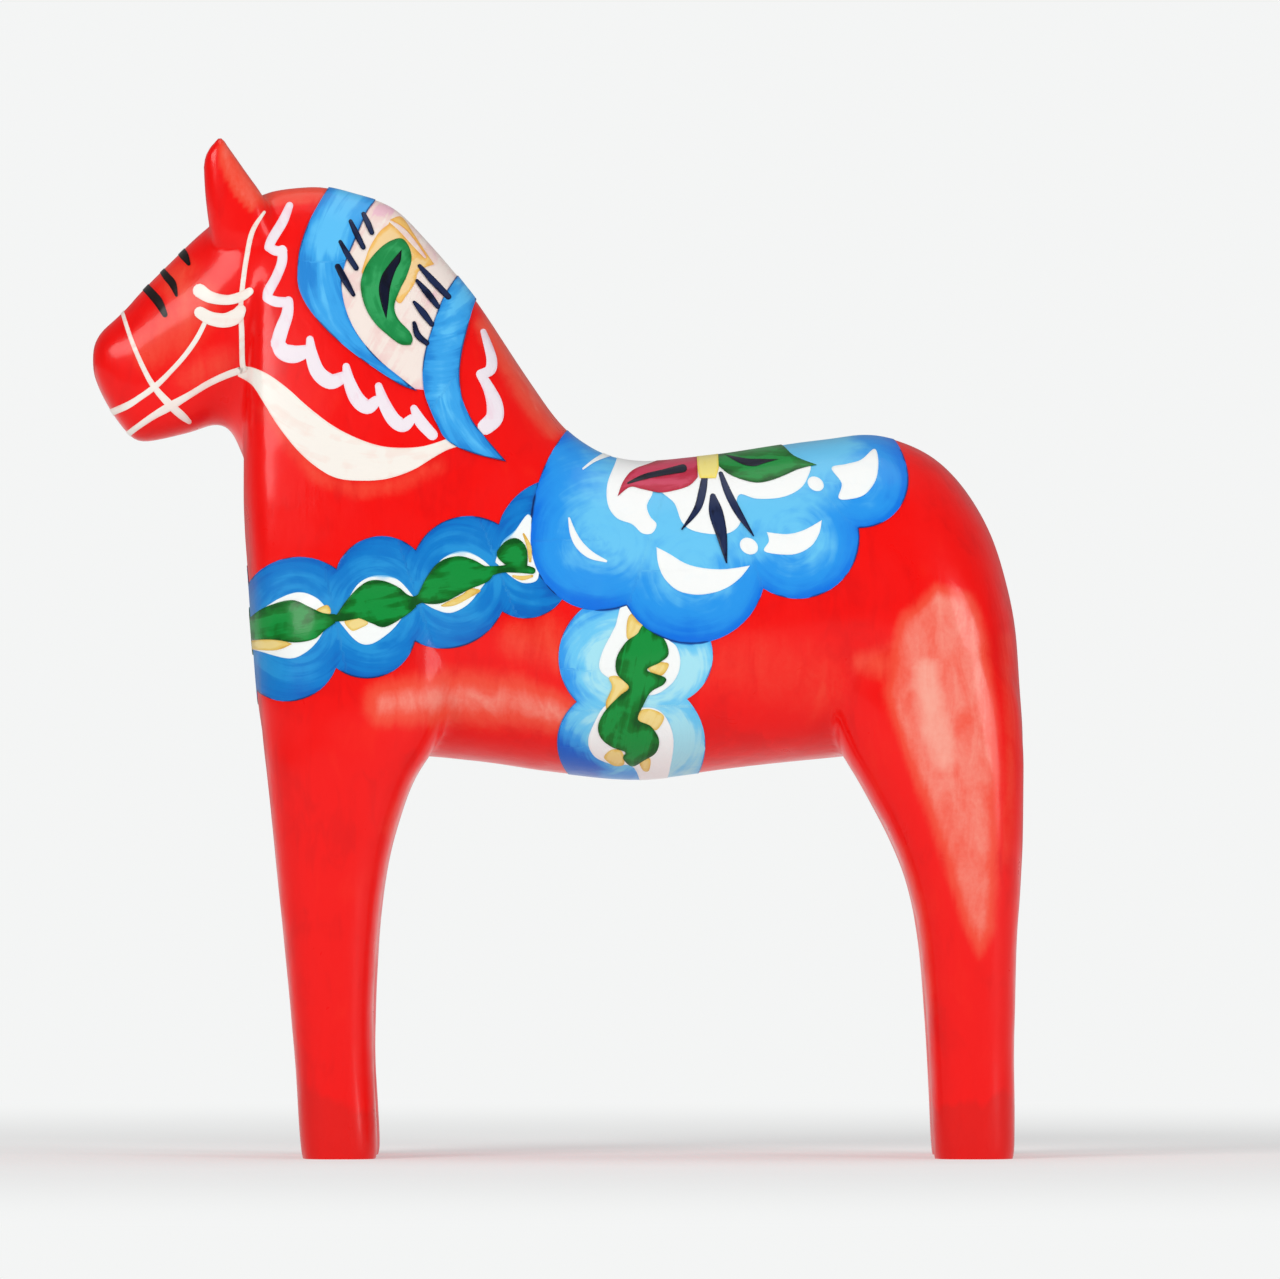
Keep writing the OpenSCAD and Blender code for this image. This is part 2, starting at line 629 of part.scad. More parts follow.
module girth_dabs()
    color([0.90, 0.80, 0.42]) on_figures() from_side()
        difference() {
            girth_dab_figure();
            girth_vine_figure();
            saddle_outline();
        }

// ---------- Saddle ----------

saddle_edge = [
    [4.5, 149], [-2.7, 138], [-5.1, 126], [-3.2, 116.6], [3, 111], [8.5, 110], [13.9, 110.8],
    [25, 103.4], [41.3, 114.3], [53, 113.2], [60.4, 126.4], [68.2, 130], [70.2, 138], [69.2, 141.8],
    [65.5, 147]
];

module saddle_outline() polygon(concat(scallops(saddle_edge), [[65.5, 160], [4.5, 160]]));

module saddle_petal_figure()
    blob([
        [12.2, 132.9], [13.5, 135.8], [15.6, 138.2], [18.6, 139.4], [22, 140.6], [25.5, 142],
        [27.9, 141.6], [28.5, 138.8], [28.2, 136.7], [26.5, 135], [23.5, 134], [20.5, 133.7],
        [17, 134.3], [14.4, 134.6]
    ]);

module saddle_leaf_figure()
    blob([
        [32, 139.6], [33.2, 143.6], [37, 145], [41.4, 145], [45, 143.4], [47.6, 141], [51.8, 139.2],
        [48.4, 138.3], [45, 136.9], [42, 135.8], [39.5, 135.7], [36.5, 136.5], [34, 137.7]
    ]);

module saddle_heart_figure()
    polygon([[27.9, 145], [28.3, 138], [28.9, 136.5], [31.6, 136.4], [32.2, 138.6], [32, 145]]);

module saddle_stamen_figure() {
    stroke([[29.5, 136.4, 1.5], [28.9, 133.6, 1.6], [27.8, 129.8, 1.4], [25.3, 126.5, 0.5]]);
    stroke([[31.2, 132.4, 1.4], [31.8, 129.6, 3.0], [32.9, 125.2, 2.4], [33.9, 119.9, 0.6]]);
    stroke([[32.9, 137.2, 0.9], [34.3, 133.4, 1.5], [36.6, 129.0, 1.4], [39.2, 125.1, 0.5]]);
}

module saddle_field_figure()
    difference() {
        union() {
            blob([
                [14, 143], [11.4, 138.4], [10, 135], [10.2, 131], [12, 128.4], [15, 127.2], [17, 125.5],
                [19, 125.5], [19.9, 127.2], [18.6, 128.6], [18, 131], [19.2, 134], [17, 137],
                [20, 140], [22, 143]
            ]);
            blob([
                [20.6, 134.6], [23.5, 131.2], [24.9, 127.6], [27, 126], [31, 125.2], [34.6, 125.5],
                [36.7, 127.6], [35.8, 131], [36.5, 133.4], [40, 132.3], [45, 132.7], [48.5, 134.3],
                [50, 136.4], [50.2, 139], [44, 139.4], [36, 139], [27, 138]
            ]);
        }
        saddle_petal_figure();
        saddle_leaf_figure();
        saddle_heart_figure();
        saddle_stamen_figure();
    }

module saddle_light_figure() {
    stroke([[2.4, 127.6, 0.5], [3.9, 123.7, 1.5], [6.5, 121.1, 1.5], [9.6, 119.9, 0.6]]);
    polygon(concat(
        arc3([20.2, 122.4], [28.5, 118.4], [38.4, 118.8]), arc3([38.4, 118.8], [28, 113.2], [20.2, 122.4])
    ));
    polygon(concat(
        arc3([42.1, 125.6], [48, 125.6], [52.9, 127.9]), arc3([52.9, 127.9], [49.8, 121.9], [42, 121.6])
    ));
    blob([
        [55.3, 139], [59, 139.5], [62, 140.6], [63.8, 142.2], [64.2, 138.8], [63.3, 135.2],
        [60.8, 132.9], [58, 132.3], [56.2, 132.6], [56.9, 135.6], [56.4, 137.8]
    ]);
    translate([51.8, 135.2]) rotate(-35) scale([1.1, 0.85]) circle(1.8, $fn = 16);
    translate([38.4, 122.8]) rotate(-35) scale([1.1, 0.85]) circle(1.9, $fn = 16);
}

module saddle_core_figure() {
    stroke([[14.4, 135.6, 0.5], [17.5, 136.8, 1.2], [21.5, 137.7, 1.3], [24.6, 138.4, 1.6]]);
    blob([
        [33.9, 141.3], [36, 141], [39, 140.2], [43.2, 140.3], [41.4, 139.4], [39.4, 138.9],
        [37, 139.3], [35, 140]
    ]);
}

module saddle_cloth() color([0.13, 0.50, 0.90]) on_red() from_side() saddle_outline();
module saddle_field() color([0.94, 0.97, 0.98]) on_figures() from_side() saddle_field_figure();
module saddle_lights()
    color([0.95, 0.97, 0.98]) on_figures() from_side()
        difference() {
            saddle_light_figure();
            saddle_field_figure();
            saddle_stamen_figure();
        }
module saddle_petal() color([0.80, 0.20, 0.32]) on_figures() from_side() saddle_petal_figure();
module saddle_leaf() color([0.04, 0.53, 0.20]) on_figures() from_side() saddle_leaf_figure();
module saddle_cores() color([0.04, 0.05, 0.20]) on_petals() from_side() saddle_core_figure();
module saddle_heart()
    color([0.94, 0.84, 0.45]) on_figures() from_side()
        difference() {
            saddle_heart_figure();
            saddle_petal_figure();
            saddle_leaf_figure();
        }
module saddle_stamens()
    color([0.07, 0.12, 0.30]) on_figures() from_side()
        difference() {
            saddle_stamen_figure();
            saddle_heart_figure();
        }

// ---------- Wood and ground coat ----------

module pine_body() color([0.85, 0.70, 0.48]) scale(size) horse(0);

module red_coat()
    color([0.93, 0.07, 0.03]) scale(size)
        difference() {
            horse(coat_top);
            horse(0);
        }

pine_body();
red_coat();
mane_border();
mane_field();
mane_heart();
mane_leaf();
mane_leaf_core();
mane_lashes();
neck_scroll();
withers_scroll();
throat_ribbon();
bridle();
bridle_bow();
brow_bars();
breast_band();
breast_eyes();
breast_leaves();
breast_dabs();
girth_band();
girth_eyes();
girth_vine();
girth_dabs();
saddle_cloth();
saddle_field();
saddle_lights();
saddle_petal();
saddle_leaf();
saddle_cores();
saddle_heart();
saddle_stamens();
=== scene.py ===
import bpy
import math
from contextlib import contextmanager
import numpy as np
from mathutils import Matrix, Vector, noise


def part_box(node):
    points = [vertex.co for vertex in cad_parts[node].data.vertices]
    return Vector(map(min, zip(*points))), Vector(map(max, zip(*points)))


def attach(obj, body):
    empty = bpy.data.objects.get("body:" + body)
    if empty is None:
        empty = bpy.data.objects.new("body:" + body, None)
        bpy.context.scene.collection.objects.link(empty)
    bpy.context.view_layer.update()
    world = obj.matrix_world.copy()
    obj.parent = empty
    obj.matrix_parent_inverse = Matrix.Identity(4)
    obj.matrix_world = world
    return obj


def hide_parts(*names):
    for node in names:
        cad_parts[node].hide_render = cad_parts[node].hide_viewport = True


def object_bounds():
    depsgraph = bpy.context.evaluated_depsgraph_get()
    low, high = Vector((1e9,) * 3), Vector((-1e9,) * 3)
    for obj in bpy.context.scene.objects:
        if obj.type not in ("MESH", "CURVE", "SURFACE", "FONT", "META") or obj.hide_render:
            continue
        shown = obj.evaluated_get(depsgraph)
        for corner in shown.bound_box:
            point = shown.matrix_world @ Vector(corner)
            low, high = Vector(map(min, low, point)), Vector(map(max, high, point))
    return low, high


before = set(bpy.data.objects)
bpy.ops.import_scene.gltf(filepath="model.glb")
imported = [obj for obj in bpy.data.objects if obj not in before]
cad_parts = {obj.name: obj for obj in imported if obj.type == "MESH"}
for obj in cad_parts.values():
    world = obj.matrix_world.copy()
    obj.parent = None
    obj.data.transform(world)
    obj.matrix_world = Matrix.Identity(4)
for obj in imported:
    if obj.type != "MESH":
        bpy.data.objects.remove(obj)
bpy.context.view_layer.update()
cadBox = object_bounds()
print("frame loaded")

# the horse is drawn in millimetres, on a bare block this tall to its ear tips
blockTall = 204.8
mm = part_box("pine_body")[1].z / blockTall

# camera and studio come first, in metres

studio = {
    "fieldWide": 256.0,         # width of the view at the near flank, in millimetres
    "lookAt": (16.6, 104.1),    # middle of the view, x and z, in millimetres
    "lens": 600.0,
    "sensor": 36.0,
    "paper": (0.905, 0.913, 0.910),
    "fill": 0.26,               # strength of the light from all round
    "lampAim": (0, 0, 0.1),
    "lamps": [
        # name, place, size, watts, tint
        ("keyLamp", (-1.15, -1.55, 1.10), 1.00, 20.4, (1.0, 0.985, 0.965)),
        ("sideLamp", (1.55, -1.35, 0.45), 0.90, 14.6, (0.97, 0.985, 1.0)),
        ("topLamp", (0.05, 0.10, 1.80), 1.40, 7.5, (1.0, 1.0, 1.0)),
    ],
    "floorRadius": 2.2,
    "floorTones": ((0.93, 0.94, 0.94), (0.96, 0.97, 0.97)),
    "floorFades": (0.11, 0.52),  # distances between which the floor turns into paper
    "floorGlow": 0.38,           # share of the paper's tone already under the horse
}


def makeCamera(look):
    camera = bpy.data.objects.new("camera", bpy.data.cameras.new("camera"))
    bpy.context.scene.collection.objects.link(camera)
    camera.data.sensor_width = look["sensor"]
    camera.data.lens = look["lens"]
    away = look["fieldWide"] * mm * look["lens"] / look["sensor"]
    nearFlank = cadBox[0].y
    camera.location = (look["lookAt"][0] * mm, nearFlank - away, look["lookAt"][1] * mm)
    camera.rotation_euler = (math.radians(90), 0, 0)
    bpy.context.scene.camera = camera


def makeLamps(look):
    for name, place, size, watts, tint in look["lamps"]:
        lamp = bpy.data.objects.new(name, bpy.data.lights.new(name, "AREA"))
        bpy.context.scene.collection.objects.link(lamp)
        lamp.data.shape = "DISK"
        lamp.data.size = size
        lamp.data.energy = watts
        lamp.data.color = tint
        lamp.location = place
        aim = Vector(look["lampAim"]) - Vector(place)
        lamp.rotation_euler = aim.to_track_quat("-Z", "Y").to_euler()


def makeWorld(look):
    # the lens sees paper, and the horse is lit by an even white
    world = bpy.data.worlds.new("paleRoom")
    bpy.context.scene.world = world
    world.use_nodes = True
    tree = world.node_tree
    tree.nodes.clear()
    seen = tree.nodes.new("ShaderNodeBackground")
    seen.inputs["Color"].default_value = (*look["paper"], 1)
    lit = tree.nodes.new("ShaderNodeBackground")
    lit.inputs["Color"].default_value = (1, 1, 1, 1)
    lit.inputs["Strength"].default_value = look["fill"]
    path = tree.nodes.new("ShaderNodeLightPath")
    mix = tree.nodes.new("ShaderNodeMixShader")
    out = tree.nodes.new("ShaderNodeOutputWorld")
    tree.links.new(path.outputs["Is Camera Ray"], mix.inputs["Fac"])
    tree.links.new(lit.outputs["Background"], mix.inputs[1])
    tree.links.new(seen.outputs["Background"], mix.inputs[2])
    tree.links.new(mix.outputs["Shader"], out.inputs["Surface"])


makeCamera(studio)
makeLamps(studio)
makeWorld(studio)
bpy.context.scene.view_settings.view_transform = "Standard"
print("camera and lamps ready")

# small helpers for working on one object at a time


def pick(*objects):
    bpy.ops.object.select_all(action="DESELECT")
    for each in objects:
        each.select_set(True)
    bpy.context.view_layer.objects.active = objects[0]


@contextmanager
def editing(piece):
    # the mesh tools work on all of the piece
    pick(piece)
    bpy.ops.object.mode_set(mode="EDIT")
    bpy.ops.mesh.select_all(action="SELECT")
    yield
    bpy.ops.object.mode_set(mode="OBJECT")


def copyOf(piece, name):
    twin = piece.copy()
    twin.data = piece.data.copy()
    twin.name = name
    bpy.context.scene.collection.objects.link(twin)
    return twin


def scrap(*objects):
    for each in objects:
        bpy.data.meshes.remove(each.data)


def applied(piece, kind, **settings):
    modifier = piece.modifiers.new(kind.lower(), kind)
    for key, value in settings.items():
        setattr(modifier, key, value)
    pick(piece)
    bpy.ops.object.modifier_apply(modifier=modifier.name)
    return piece


def carve(piece, other, how):
    # the other piece is used up
    applied(piece, "BOOLEAN", object=other, operation=how, solver="MANIFOLD")
    scrap(other)
    return piece


def swell(piece, amount):
    return applied(piece, "DISPLACE", strength=amount * mm, mid_level=0, direction="NORMAL")


def perVertex(piece, kind):
    values = np.zeros(len(piece.data.vertices) * 3)
    piece.data.vertices.foreach_get(kind, values)
    return values.reshape(-1, 3)


def placesOf(piece):
    return perVertex(piece, "co") / mm


def setPlaces(piece, places):
    piece.data.vertices.foreach_set("co", np.asarray(places, float).ravel())
    piece.data.update()


def setAttribute(piece, name, values, kind="FLOAT"):
    layer = piece.data.attributes.new(name, kind, "POINT")
    field = "value" if kind == "FLOAT" else "vector"
    layer.data.foreach_set(field, np.asarray(values, float).ravel())


def fading(share):
    # nothing below 0, all above 1, and soft at both
    share = np.clip(share, 0, 1)
    return share * share * (3 - 2 * share)


# curves drawn on the side view, in millimetres

curveSteps = 6
arcSteps = 18
capTurns = (1.05, 0.5, 0, -0.5, -1.05)     # points round the end of a stroke, in radians
dotSides = 20
tooNear = 0.02


def flow(a, b, c, d, t):
    # a smooth way from b to c, heeding the points before and after
    return 0.5 * (2 * b + (c - a) * t + (2 * a - 5 * b + 4 * c - d) * t * t + (3 * b - a - 3 * c + d) * t ** 3)


def smoothRows(rows, steps=curveSteps):
    rows = [np.array(row, float) for row in rows]
    last = len(rows) - 1
    run = []
    for i in range(last):
        before, after = rows[max(i - 1, 0)], rows[min(i + 2, last)]
        run += [flow(before, rows[i], rows[i + 1], after, k / steps) for k in range(steps)]
    return run + [rows[last]]


def arcPoints(a, m, b):
    # from a by way of m, stopping short of b
    a, m, b = (complex(*p) for p in (a, m, b))
    w = (m - a) / (b - a)
    centre = a + (b - a) * (abs(w) ** 2 - w) / (-2j * w.imag)
    radius = abs(a - centre)
    start, half, turn = (math.atan2((p - centre).imag, (p - centre).real) for p in (a, m, b))
    turn, half = (turn - start) % math.tau, (half - start) % math.tau
    if half > turn:
        turn -= math.tau
    return [
        np.array((centre.real + radius * math.cos(start + turn * k / arcSteps),
                  centre.imag + radius * math.sin(start + turn * k / arcSteps)))
        for k in range(arcSteps)
    ]


def outline(*runs):
    # each run is a line or a curve through its points, or arcs through every second one
    points = []
    for kind, marks in runs:
        if kind == "line":
            points += [np.array(p, float) for p in marks]
        elif kind == "curve":
            points += smoothRows(marks)
        else:
            for i in range(0, len(marks) - 2, 2):
                points += arcPoints(*marks[i:i + 3])
            points.append(np.array(marks[-1], float))
    clean = [points[0]]
    for p in points[1:]:
        if np.linalg.norm(p - clean[-1]) > tooNear:
            clean.append(p)
    if np.linalg.norm(clean[0] - clean[-1]) < tooNear:
        clean.pop()
    return clean


def curves(*runs):
    return outline(*[("curve", marks) for marks in runs])


def roundLoop(*marks):
    # one closed curve
    marks = [np.array(p, float) for p in marks]
    n = len(marks)
    return [
        flow(marks[i - 1], marks[i], marks[(i + 1) % n], marks[(i + 2) % n], k / curveSteps)
        for i in range(n) for k in range(curveSteps)
    ]


def unit(way):
    return way / np.linalg.norm(way)


def brushStroke(*rows):
    # x, z and width along one touch of the brush, with rounded ends
    run = smoothRows(rows)
    last = len(run) - 1

    def sideOf(end, start):
        way = unit(run[end][:2] - run[start][:2])
        return way, np.array((-way[1], way[0]))

    def cap(end, start):
        way, side = sideOf(end, start)
        return [run[end][:2] + run[end][2] / 2 * (math.cos(t) * way + math.sin(t) * side) for t in capTurns]

    sides = [sideOf(min(i + 1, last), max(i - 1, 0))[1] * row[2] / 2 for i, row in enumerate(run)]
    left = [row[:2] + side for row, side in zip(run, sides)]
    right = [row[:2] - side for row, side in zip(run, sides)]
    return left + cap(last, last - 1) + right[::-1] + cap(0, 1)


def strokes(paths):
    return [brushStroke(*rows) for rows in paths]


def dot(x, z, wide, high, tilt):
    c, s = math.cos(math.radians(tilt)), math.sin(math.radians(tilt))
    turnsRound = np.linspace(0, math.tau, dotSides + 1)[:-1]
    spots = [(wide * math.cos(a) / 2, high * math.sin(a) / 2) for a in turnsRound]
    return [np.array((x + c * u - s * v, z + s * u + c * v)) for u, v in spots]


# the carved block: key sections joined by smooth lofts

block = {
    "flank": 31.5,              # half width of the barrel
    "footIn": 8.0,              # inner face of each foot from the middle
    "roundness": 2.5,
    "legRoundness": 3.0,
    "neckTaper": 1.6,
    "sides": 56,
    "steps": 4,
    "voxel": 1.0,
    "smoothing": 9,
    "softTop": 202,             # the tips are smoothed less, from softSpan below this height
    "softSpan": 12,
    "softLeast": 0.12,
    "handCut": 0.22,            # depth of the unevenness left by the knife
    "knifeWidth": 17,
    "earTip": {"from": 198.5, "tall": 5.5, "x": -67.8, "rise": 0.26, "draw": 0.5},
    "shadeAngle": 38,
    # x, underside, top, share of the flank low, share high
    "trunk": [
        (-62.8, 126, 146, 0.46, 0.36), (-62.1, 117, 172, 0.64, 0.38), (-61.0, 103, 186, 0.77, 0.39),
        (-59.6, 88, 192.4, 0.86, 0.41), (-57.0, 80, 194.3, 0.92, 0.42), (-48.0, 78.3, 195.1, 0.98, 0.44),
        (-41.0, 78.6, 193.6, 1.00, 0.46), (-34.0, 79.8, 191.2, 1.00, 0.47), (-28.5, 80.8, 186.3, 1.00, 0.48),
        (-17.0, 79.8, 172.8, 1.00, 0.52), (-6.0, 78.2, 156.4, 1.00, 0.58), (0.0, 77.5, 148.0, 1.00, 0.65),
        (5.0, 76.9, 143.6, 1.00, 0.72), (11.0, 76.3, 140.6, 1.00, 0.80), (19.0, 76.3, 139.6, 0.99, 0.86),
        (34.0, 78.2, 141.3, 0.98, 0.89), (54.0, 80.4, 144.2, 0.99, 0.91), (62.0, 81, 145.2, 1.00, 0.90),
        (69.0, 80.5, 143.8, 1.00, 0.88), (76.0, 80, 140.2, 1.00, 0.84), (82.0, 79, 134.0, 0.97, 0.78),
        (87.0, 78, 125.2, 0.90, 0.70), (90.2, 77, 115.2, 0.80, 0.60), (92.2, 76, 104, 0.66, 0.50),
        (93.3, 75, 88, 0.42, 0.34),
    ],
    "head": [
        (-93.4, 158.4, 162.4, 0.10, 0.10), (-92.9, 156.6, 164.0, 0.17, 0.16), (-91.6, 153.5, 166.1, 0.22, 0.21),
        (-89.0, 149.0, 168.4, 0.26, 0.24), (-86.3, 145.7, 171.0, 0.285, 0.26),
        (-83.5, 144.0, 174.2, 0.305, 0.28),
        (-74.0, 146.0, 183.7, 0.37, 0.33), (-69.5, 147.6, 187.6, 0.40, 0.36), (-66.4, 147.0, 190.2, 0.41, 0.38),
        (-64.4, 144.2, 191.7, 0.42, 0.39), (-62.4, 141.0, 192.9, 0.43, 0.40), (-54.0, 142.0, 193.0, 0.42, 0.38),
        (-46.0, 150.0, 188.0, 0.36, 0.30),
    ],
    # z, front, back, inner face from the foot's inner face, outer face
    "frontLeg": [
        (-6, -50.2, -37.4, 1.0, 25.9), (0, -50.4, -37.2, 0.8, 26.1), (1.4, -51.2, -36.2, 0, 26.9),
        (22, -52.7, -37.1, -0.4, 27.5), (42, -54.5, -36.4, -1, 28.2), (58, -56.1, -34.5, -1.8, 28.9),
        (68, -57.1, -32.0, -2.6, 29.5), (76, -58.1, -29.0, -4, 29.9), (84, -59.0, -24.0, -6, 30.2),
        (96, -59.8, -19.0, -8, 30.3), (110, -58.8, -21.0, -8, 28.6), (122, -53, -30.0, -8, 22.0),
    ],
    "rearLeg": [
        (-6, 76.6, 90.6, 1.0, 25.9), (0, 76.4, 90.8, 0.8, 26.1), (1.4, 75.7, 91.5, 0, 26.9),
        (22, 74.7, 91.6, -0.4, 27.6), (42, 73.1, 92.0, -1, 28.7), (54, 70.8, 92.7, -1.5, 29.5),
        (64, 67.0, 93.2, -2.4, 30.3), (74, 61.7, 93.4, -3.6, 30.9), (84, 56.0, 93.2, -6.4, 31.2),
        (96, 52.5, 91.6, -8, 30.8), (110, 54.5, 86.5, -8, 28.6), (122, 60.0, 79.0, -8, 22.0),
    ],
    "ear": [
        (184, -69.4, -56.0, -6.0, 12.0), (192, -70.5, -58.8, -4.8, 11.8), (198, -71.0, -62.9, -3.6, 11.1),
        (201, -70.8, -65.0, -2.8, 10.7), (203.4, -69.8, -66.4, -1.6, 10.1), (204.8, -68.3, -67.3, -0.4, 9.2),
    ],
}


def power(v, n):
    return math.copysign(abs(v) ** (2 / n), v)


def turns(sides):
    return [math.tau * (i + 0.5) / sides for i in range(sides)]


def uprightRing(row, sides):
    x, low, high, wideLow, wideHigh = row
    ring = []
    for a in turns(sides):
        up = power(math.sin(a), block["roundness"])
        share = wideLow + (wideHigh - wideLow) * ((up + 1) / 2) ** block["neckTaper"]
        across = block["flank"] * share * power(math.cos(a), block["roundness"])
        ring.append((x, across, (low + high) / 2 + (high - low) / 2 * up))
    return ring


def levelRing(row, sides, side):
    z, front, back, inner, outer = row
    inner += block["footIn"]
    ring = []
    for a in turns(sides):
        along = power(math.cos(a), block["legRoundness"])
        across = power(math.sin(a), block["legRoundness"])
        ring.append((
            (front + back) / 2 + (back - front) / 2 * along,
            side * ((inner + outer) / 2 + (outer - inner) / 2 * across),
            z,
        ))
    return ring


def loft(name, rings):
    sides = len(rings[0])
    bpy.ops.mesh.primitive_grid_add(x_subdivisions=sides, y_subdivisions=len(rings) - 1, size=1)
    piece = bpy.context.object
    piece.name = name
    setPlaces(piece, [Vector(ring[i % sides]) * mm for ring in rings for i in range(sides + 1)])
    with editing(piece):
        bpy.ops.mesh.remove_doubles(threshold=1e-7)
        bpy.ops.mesh.fill_holes(sides=0)
        bpy.ops.mesh.select_all(action="SELECT")
        bpy.ops.mesh.normals_make_consistent(inside=False)
    return piece


def handCut(piece):
    # a knife leaves shallow planes, so the surface dips a little between them
    places = perVertex(piece, "co")
    start, width = Vector((3.1, 7.7, 1.3)), block["knifeWidth"] * mm
    dips = np.array([noise.noise(Vector(p) / width + start) for p in places])
    dips = np.clip(dips + 0.1, 0, 1) * block["handCut"] * mm
    places -= perVertex(piece, "normal") * dips[:, None]
    # and the ear tips are drawn up to a point
    tip = block["earTip"]
    rise = np.clip((places[:, 2] / mm - tip["from"]) / tip["tall"], 0, 1) ** 2
    places[:, 2] += tip["rise"] * mm * rise
    places[:, 0] += (tip["x"] * mm - places[:, 0]) * tip["draw"] * rise ** 2
    setPlaces(piece, places)


def carvedBlock():
    steps, sides = block["steps"], block["sides"]
    parts = []
    for key in ("trunk", "head"):
        rows = smoothRows(block[key], steps)
        parts.append(loft(key, [uprightRing(row, sides) for row in rows]))
    for side in (-1, 1):
        for limb in ("frontLeg", "rearLeg", "ear"):
            rows = smoothRows(block[limb], steps)
            parts.append(loft(limb, [levelRing(row, sides // 2, side) for row in rows]))
    pick(*parts)
    bpy.ops.object.join()
    piece = bpy.context.object
    piece.name = "carvedBlock"
    applied(piece, "REMESH", mode="VOXEL", voxel_size=block["voxel"] * mm, use_smooth_shade=True)
    soft = piece.vertex_groups.new(name="soft")
    for v in piece.data.vertices:
        share = np.clip((block["softTop"] - v.co.z / mm) / block["softSpan"], block["softLeast"], 1)
        soft.add([v.index], float(share), "REPLACE")
    applied(piece, "SMOOTH", factor=0.5, iterations=block["smoothing"], vertex_group="soft")
    piece.vertex_groups.clear()
    handCut(piece)
    return piece


def cutAtSoles(piece):
    with editing(piece):
        bpy.ops.mesh.bisect(
            plane_co=(0, 0, 0), plane_no=(0, 0, 1), use_fill=True, clear_inner=True, threshold=1e-7)
    return piece


# where each coat starts and ends over the bare wood
coats = {
    "red": (0, 0.25),
    "onRed": (0.22, 0.38),
    "onFigures": (0.36, 0.48),
    "overFigures": (0.36, 0.56),
    "lastStrokes": (0.36, 0.62),
}

carved = carvedBlock()
print("block carved:", len(carved.data.polygons), "faces")


def paintSkin(bottom, top):
    # a hollow skin round the whole horse, from which each figure is cut
    skin = swell(copyOf(carved, "skin"), bottom)
    return applied(skin, "SOLIDIFY", thickness=(top - bottom) * mm, offset=1, use_quality_normals=True)


skins = {key: paintSkin(*span) for key, span in coats.items() if key != "red"}
print("paint skins ready")

# figures: flat outlines carried through the horse and cut from a skin

cutting = {
    "reach": 45.0,              # half the depth of a cutter that runs across the horse
    "front": -75.0,             # where a cutter that runs along the horse starts
    "frontDeep": 28.0,
}


def cutter(points, frontwards=False):
    bpy.ops.mesh.primitive_circle_add(vertices=len(points), fill_type="NGON")
    piece = bpy.context.object
    reach = cutting["reach"]
    if frontwards:
        places = [(cutting["front"], p[0], p[1]) for p in points]
        push = (cutting["frontDeep"] * mm, 0, 0)
    else:
        places = [(p[0], -reach, p[1]) for p in points]
        push = (0, 2 * reach * mm, 0)
    setPlaces(piece, np.array(places, float) * mm)
    with editing(piece):
        bpy.ops.mesh.extrude_region_move(TRANSFORM_OT_translate={"value": push})
        bpy.ops.mesh.select_all(action="SELECT")
        bpy.ops.mesh.normals_make_consistent(inside=False)
    return piece


def edgeSegments(piece, frontwards=False):
    # the outline of a cutter, read off its near cap
    places = placesOf(piece)
    near = places[:, 0] < cutting["front"] + 0.1 if frontwards else places[:, 1] < 0.1 - cutting["reach"]
    caps = {}
    for face in piece.data.polygons:
        if all(near[i] for i in face.vertices):
            for key in face.edge_keys:
                caps[key] = caps.get(key, 0) + 1
    axes = [1, 2] if frontwards else [0, 2]
    return np.array([[places[a][axes], places[b][axes]] for (a, b), n in caps.items() if n == 1])


def insideDistance(spots, segments):
    # distance to the outline, positive inside it
    best = np.full(len(spots), 1e9)
    crossings = np.zeros(len(spots), int)
    for a, b in segments:
        along = b - a
        t = np.clip(((spots - a) @ along) / max(along @ along, 1e-12), 0, 1)
        best = np.minimum(best, np.linalg.norm(spots - a - t[:, None] * along, axis=1))
        spans = (a[1] > spots[:, 1]) != (b[1] > spots[:, 1])
        rise = np.where(abs(along[1]) < 1e-12, 1e-12, along[1])
        at = a[0] + (spots[:, 1] - a[1]) * along[0] / rise
        crossings += spans & (spots[:, 0] < at)
    return np.where(crossings % 2 == 1, best, -best)


def brushField(spots, flowing):
    # how far along and across the brush each spot lies
    if flowing[0] == "along":
        a = math.radians(flowing[1])
        return spots @ np.array([[math.cos(a), -math.sin(a)], [math.sin(a), math.cos(a)]])
    centres = np.array(flowing[1], float)
    arms = spots[:, None, :] - centres[None, :, :2]
    lengths = np.linalg.norm(arms, axis=2)
    nearest = np.argmin(lengths - centres[None, :, 2], axis=1)
    rows = np.arange(len(spots))
    arm, length = arms[rows, nearest], lengths[rows, nearest]
    angle = np.arctan2(arm[:, 1], arm[:, 0])
    return np.stack([angle * centres[nearest, 2], length + 40 * nearest], axis=1)


def dress(piece, node, paint):
    pick(piece)
    bpy.ops.object.shade_smooth_by_angle(angle=math.radians(block["shadeAngle"]))
    piece.data.materials.clear()
    piece.data.materials.append(finishes[paint])
    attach(piece, "root")
    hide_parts(node)


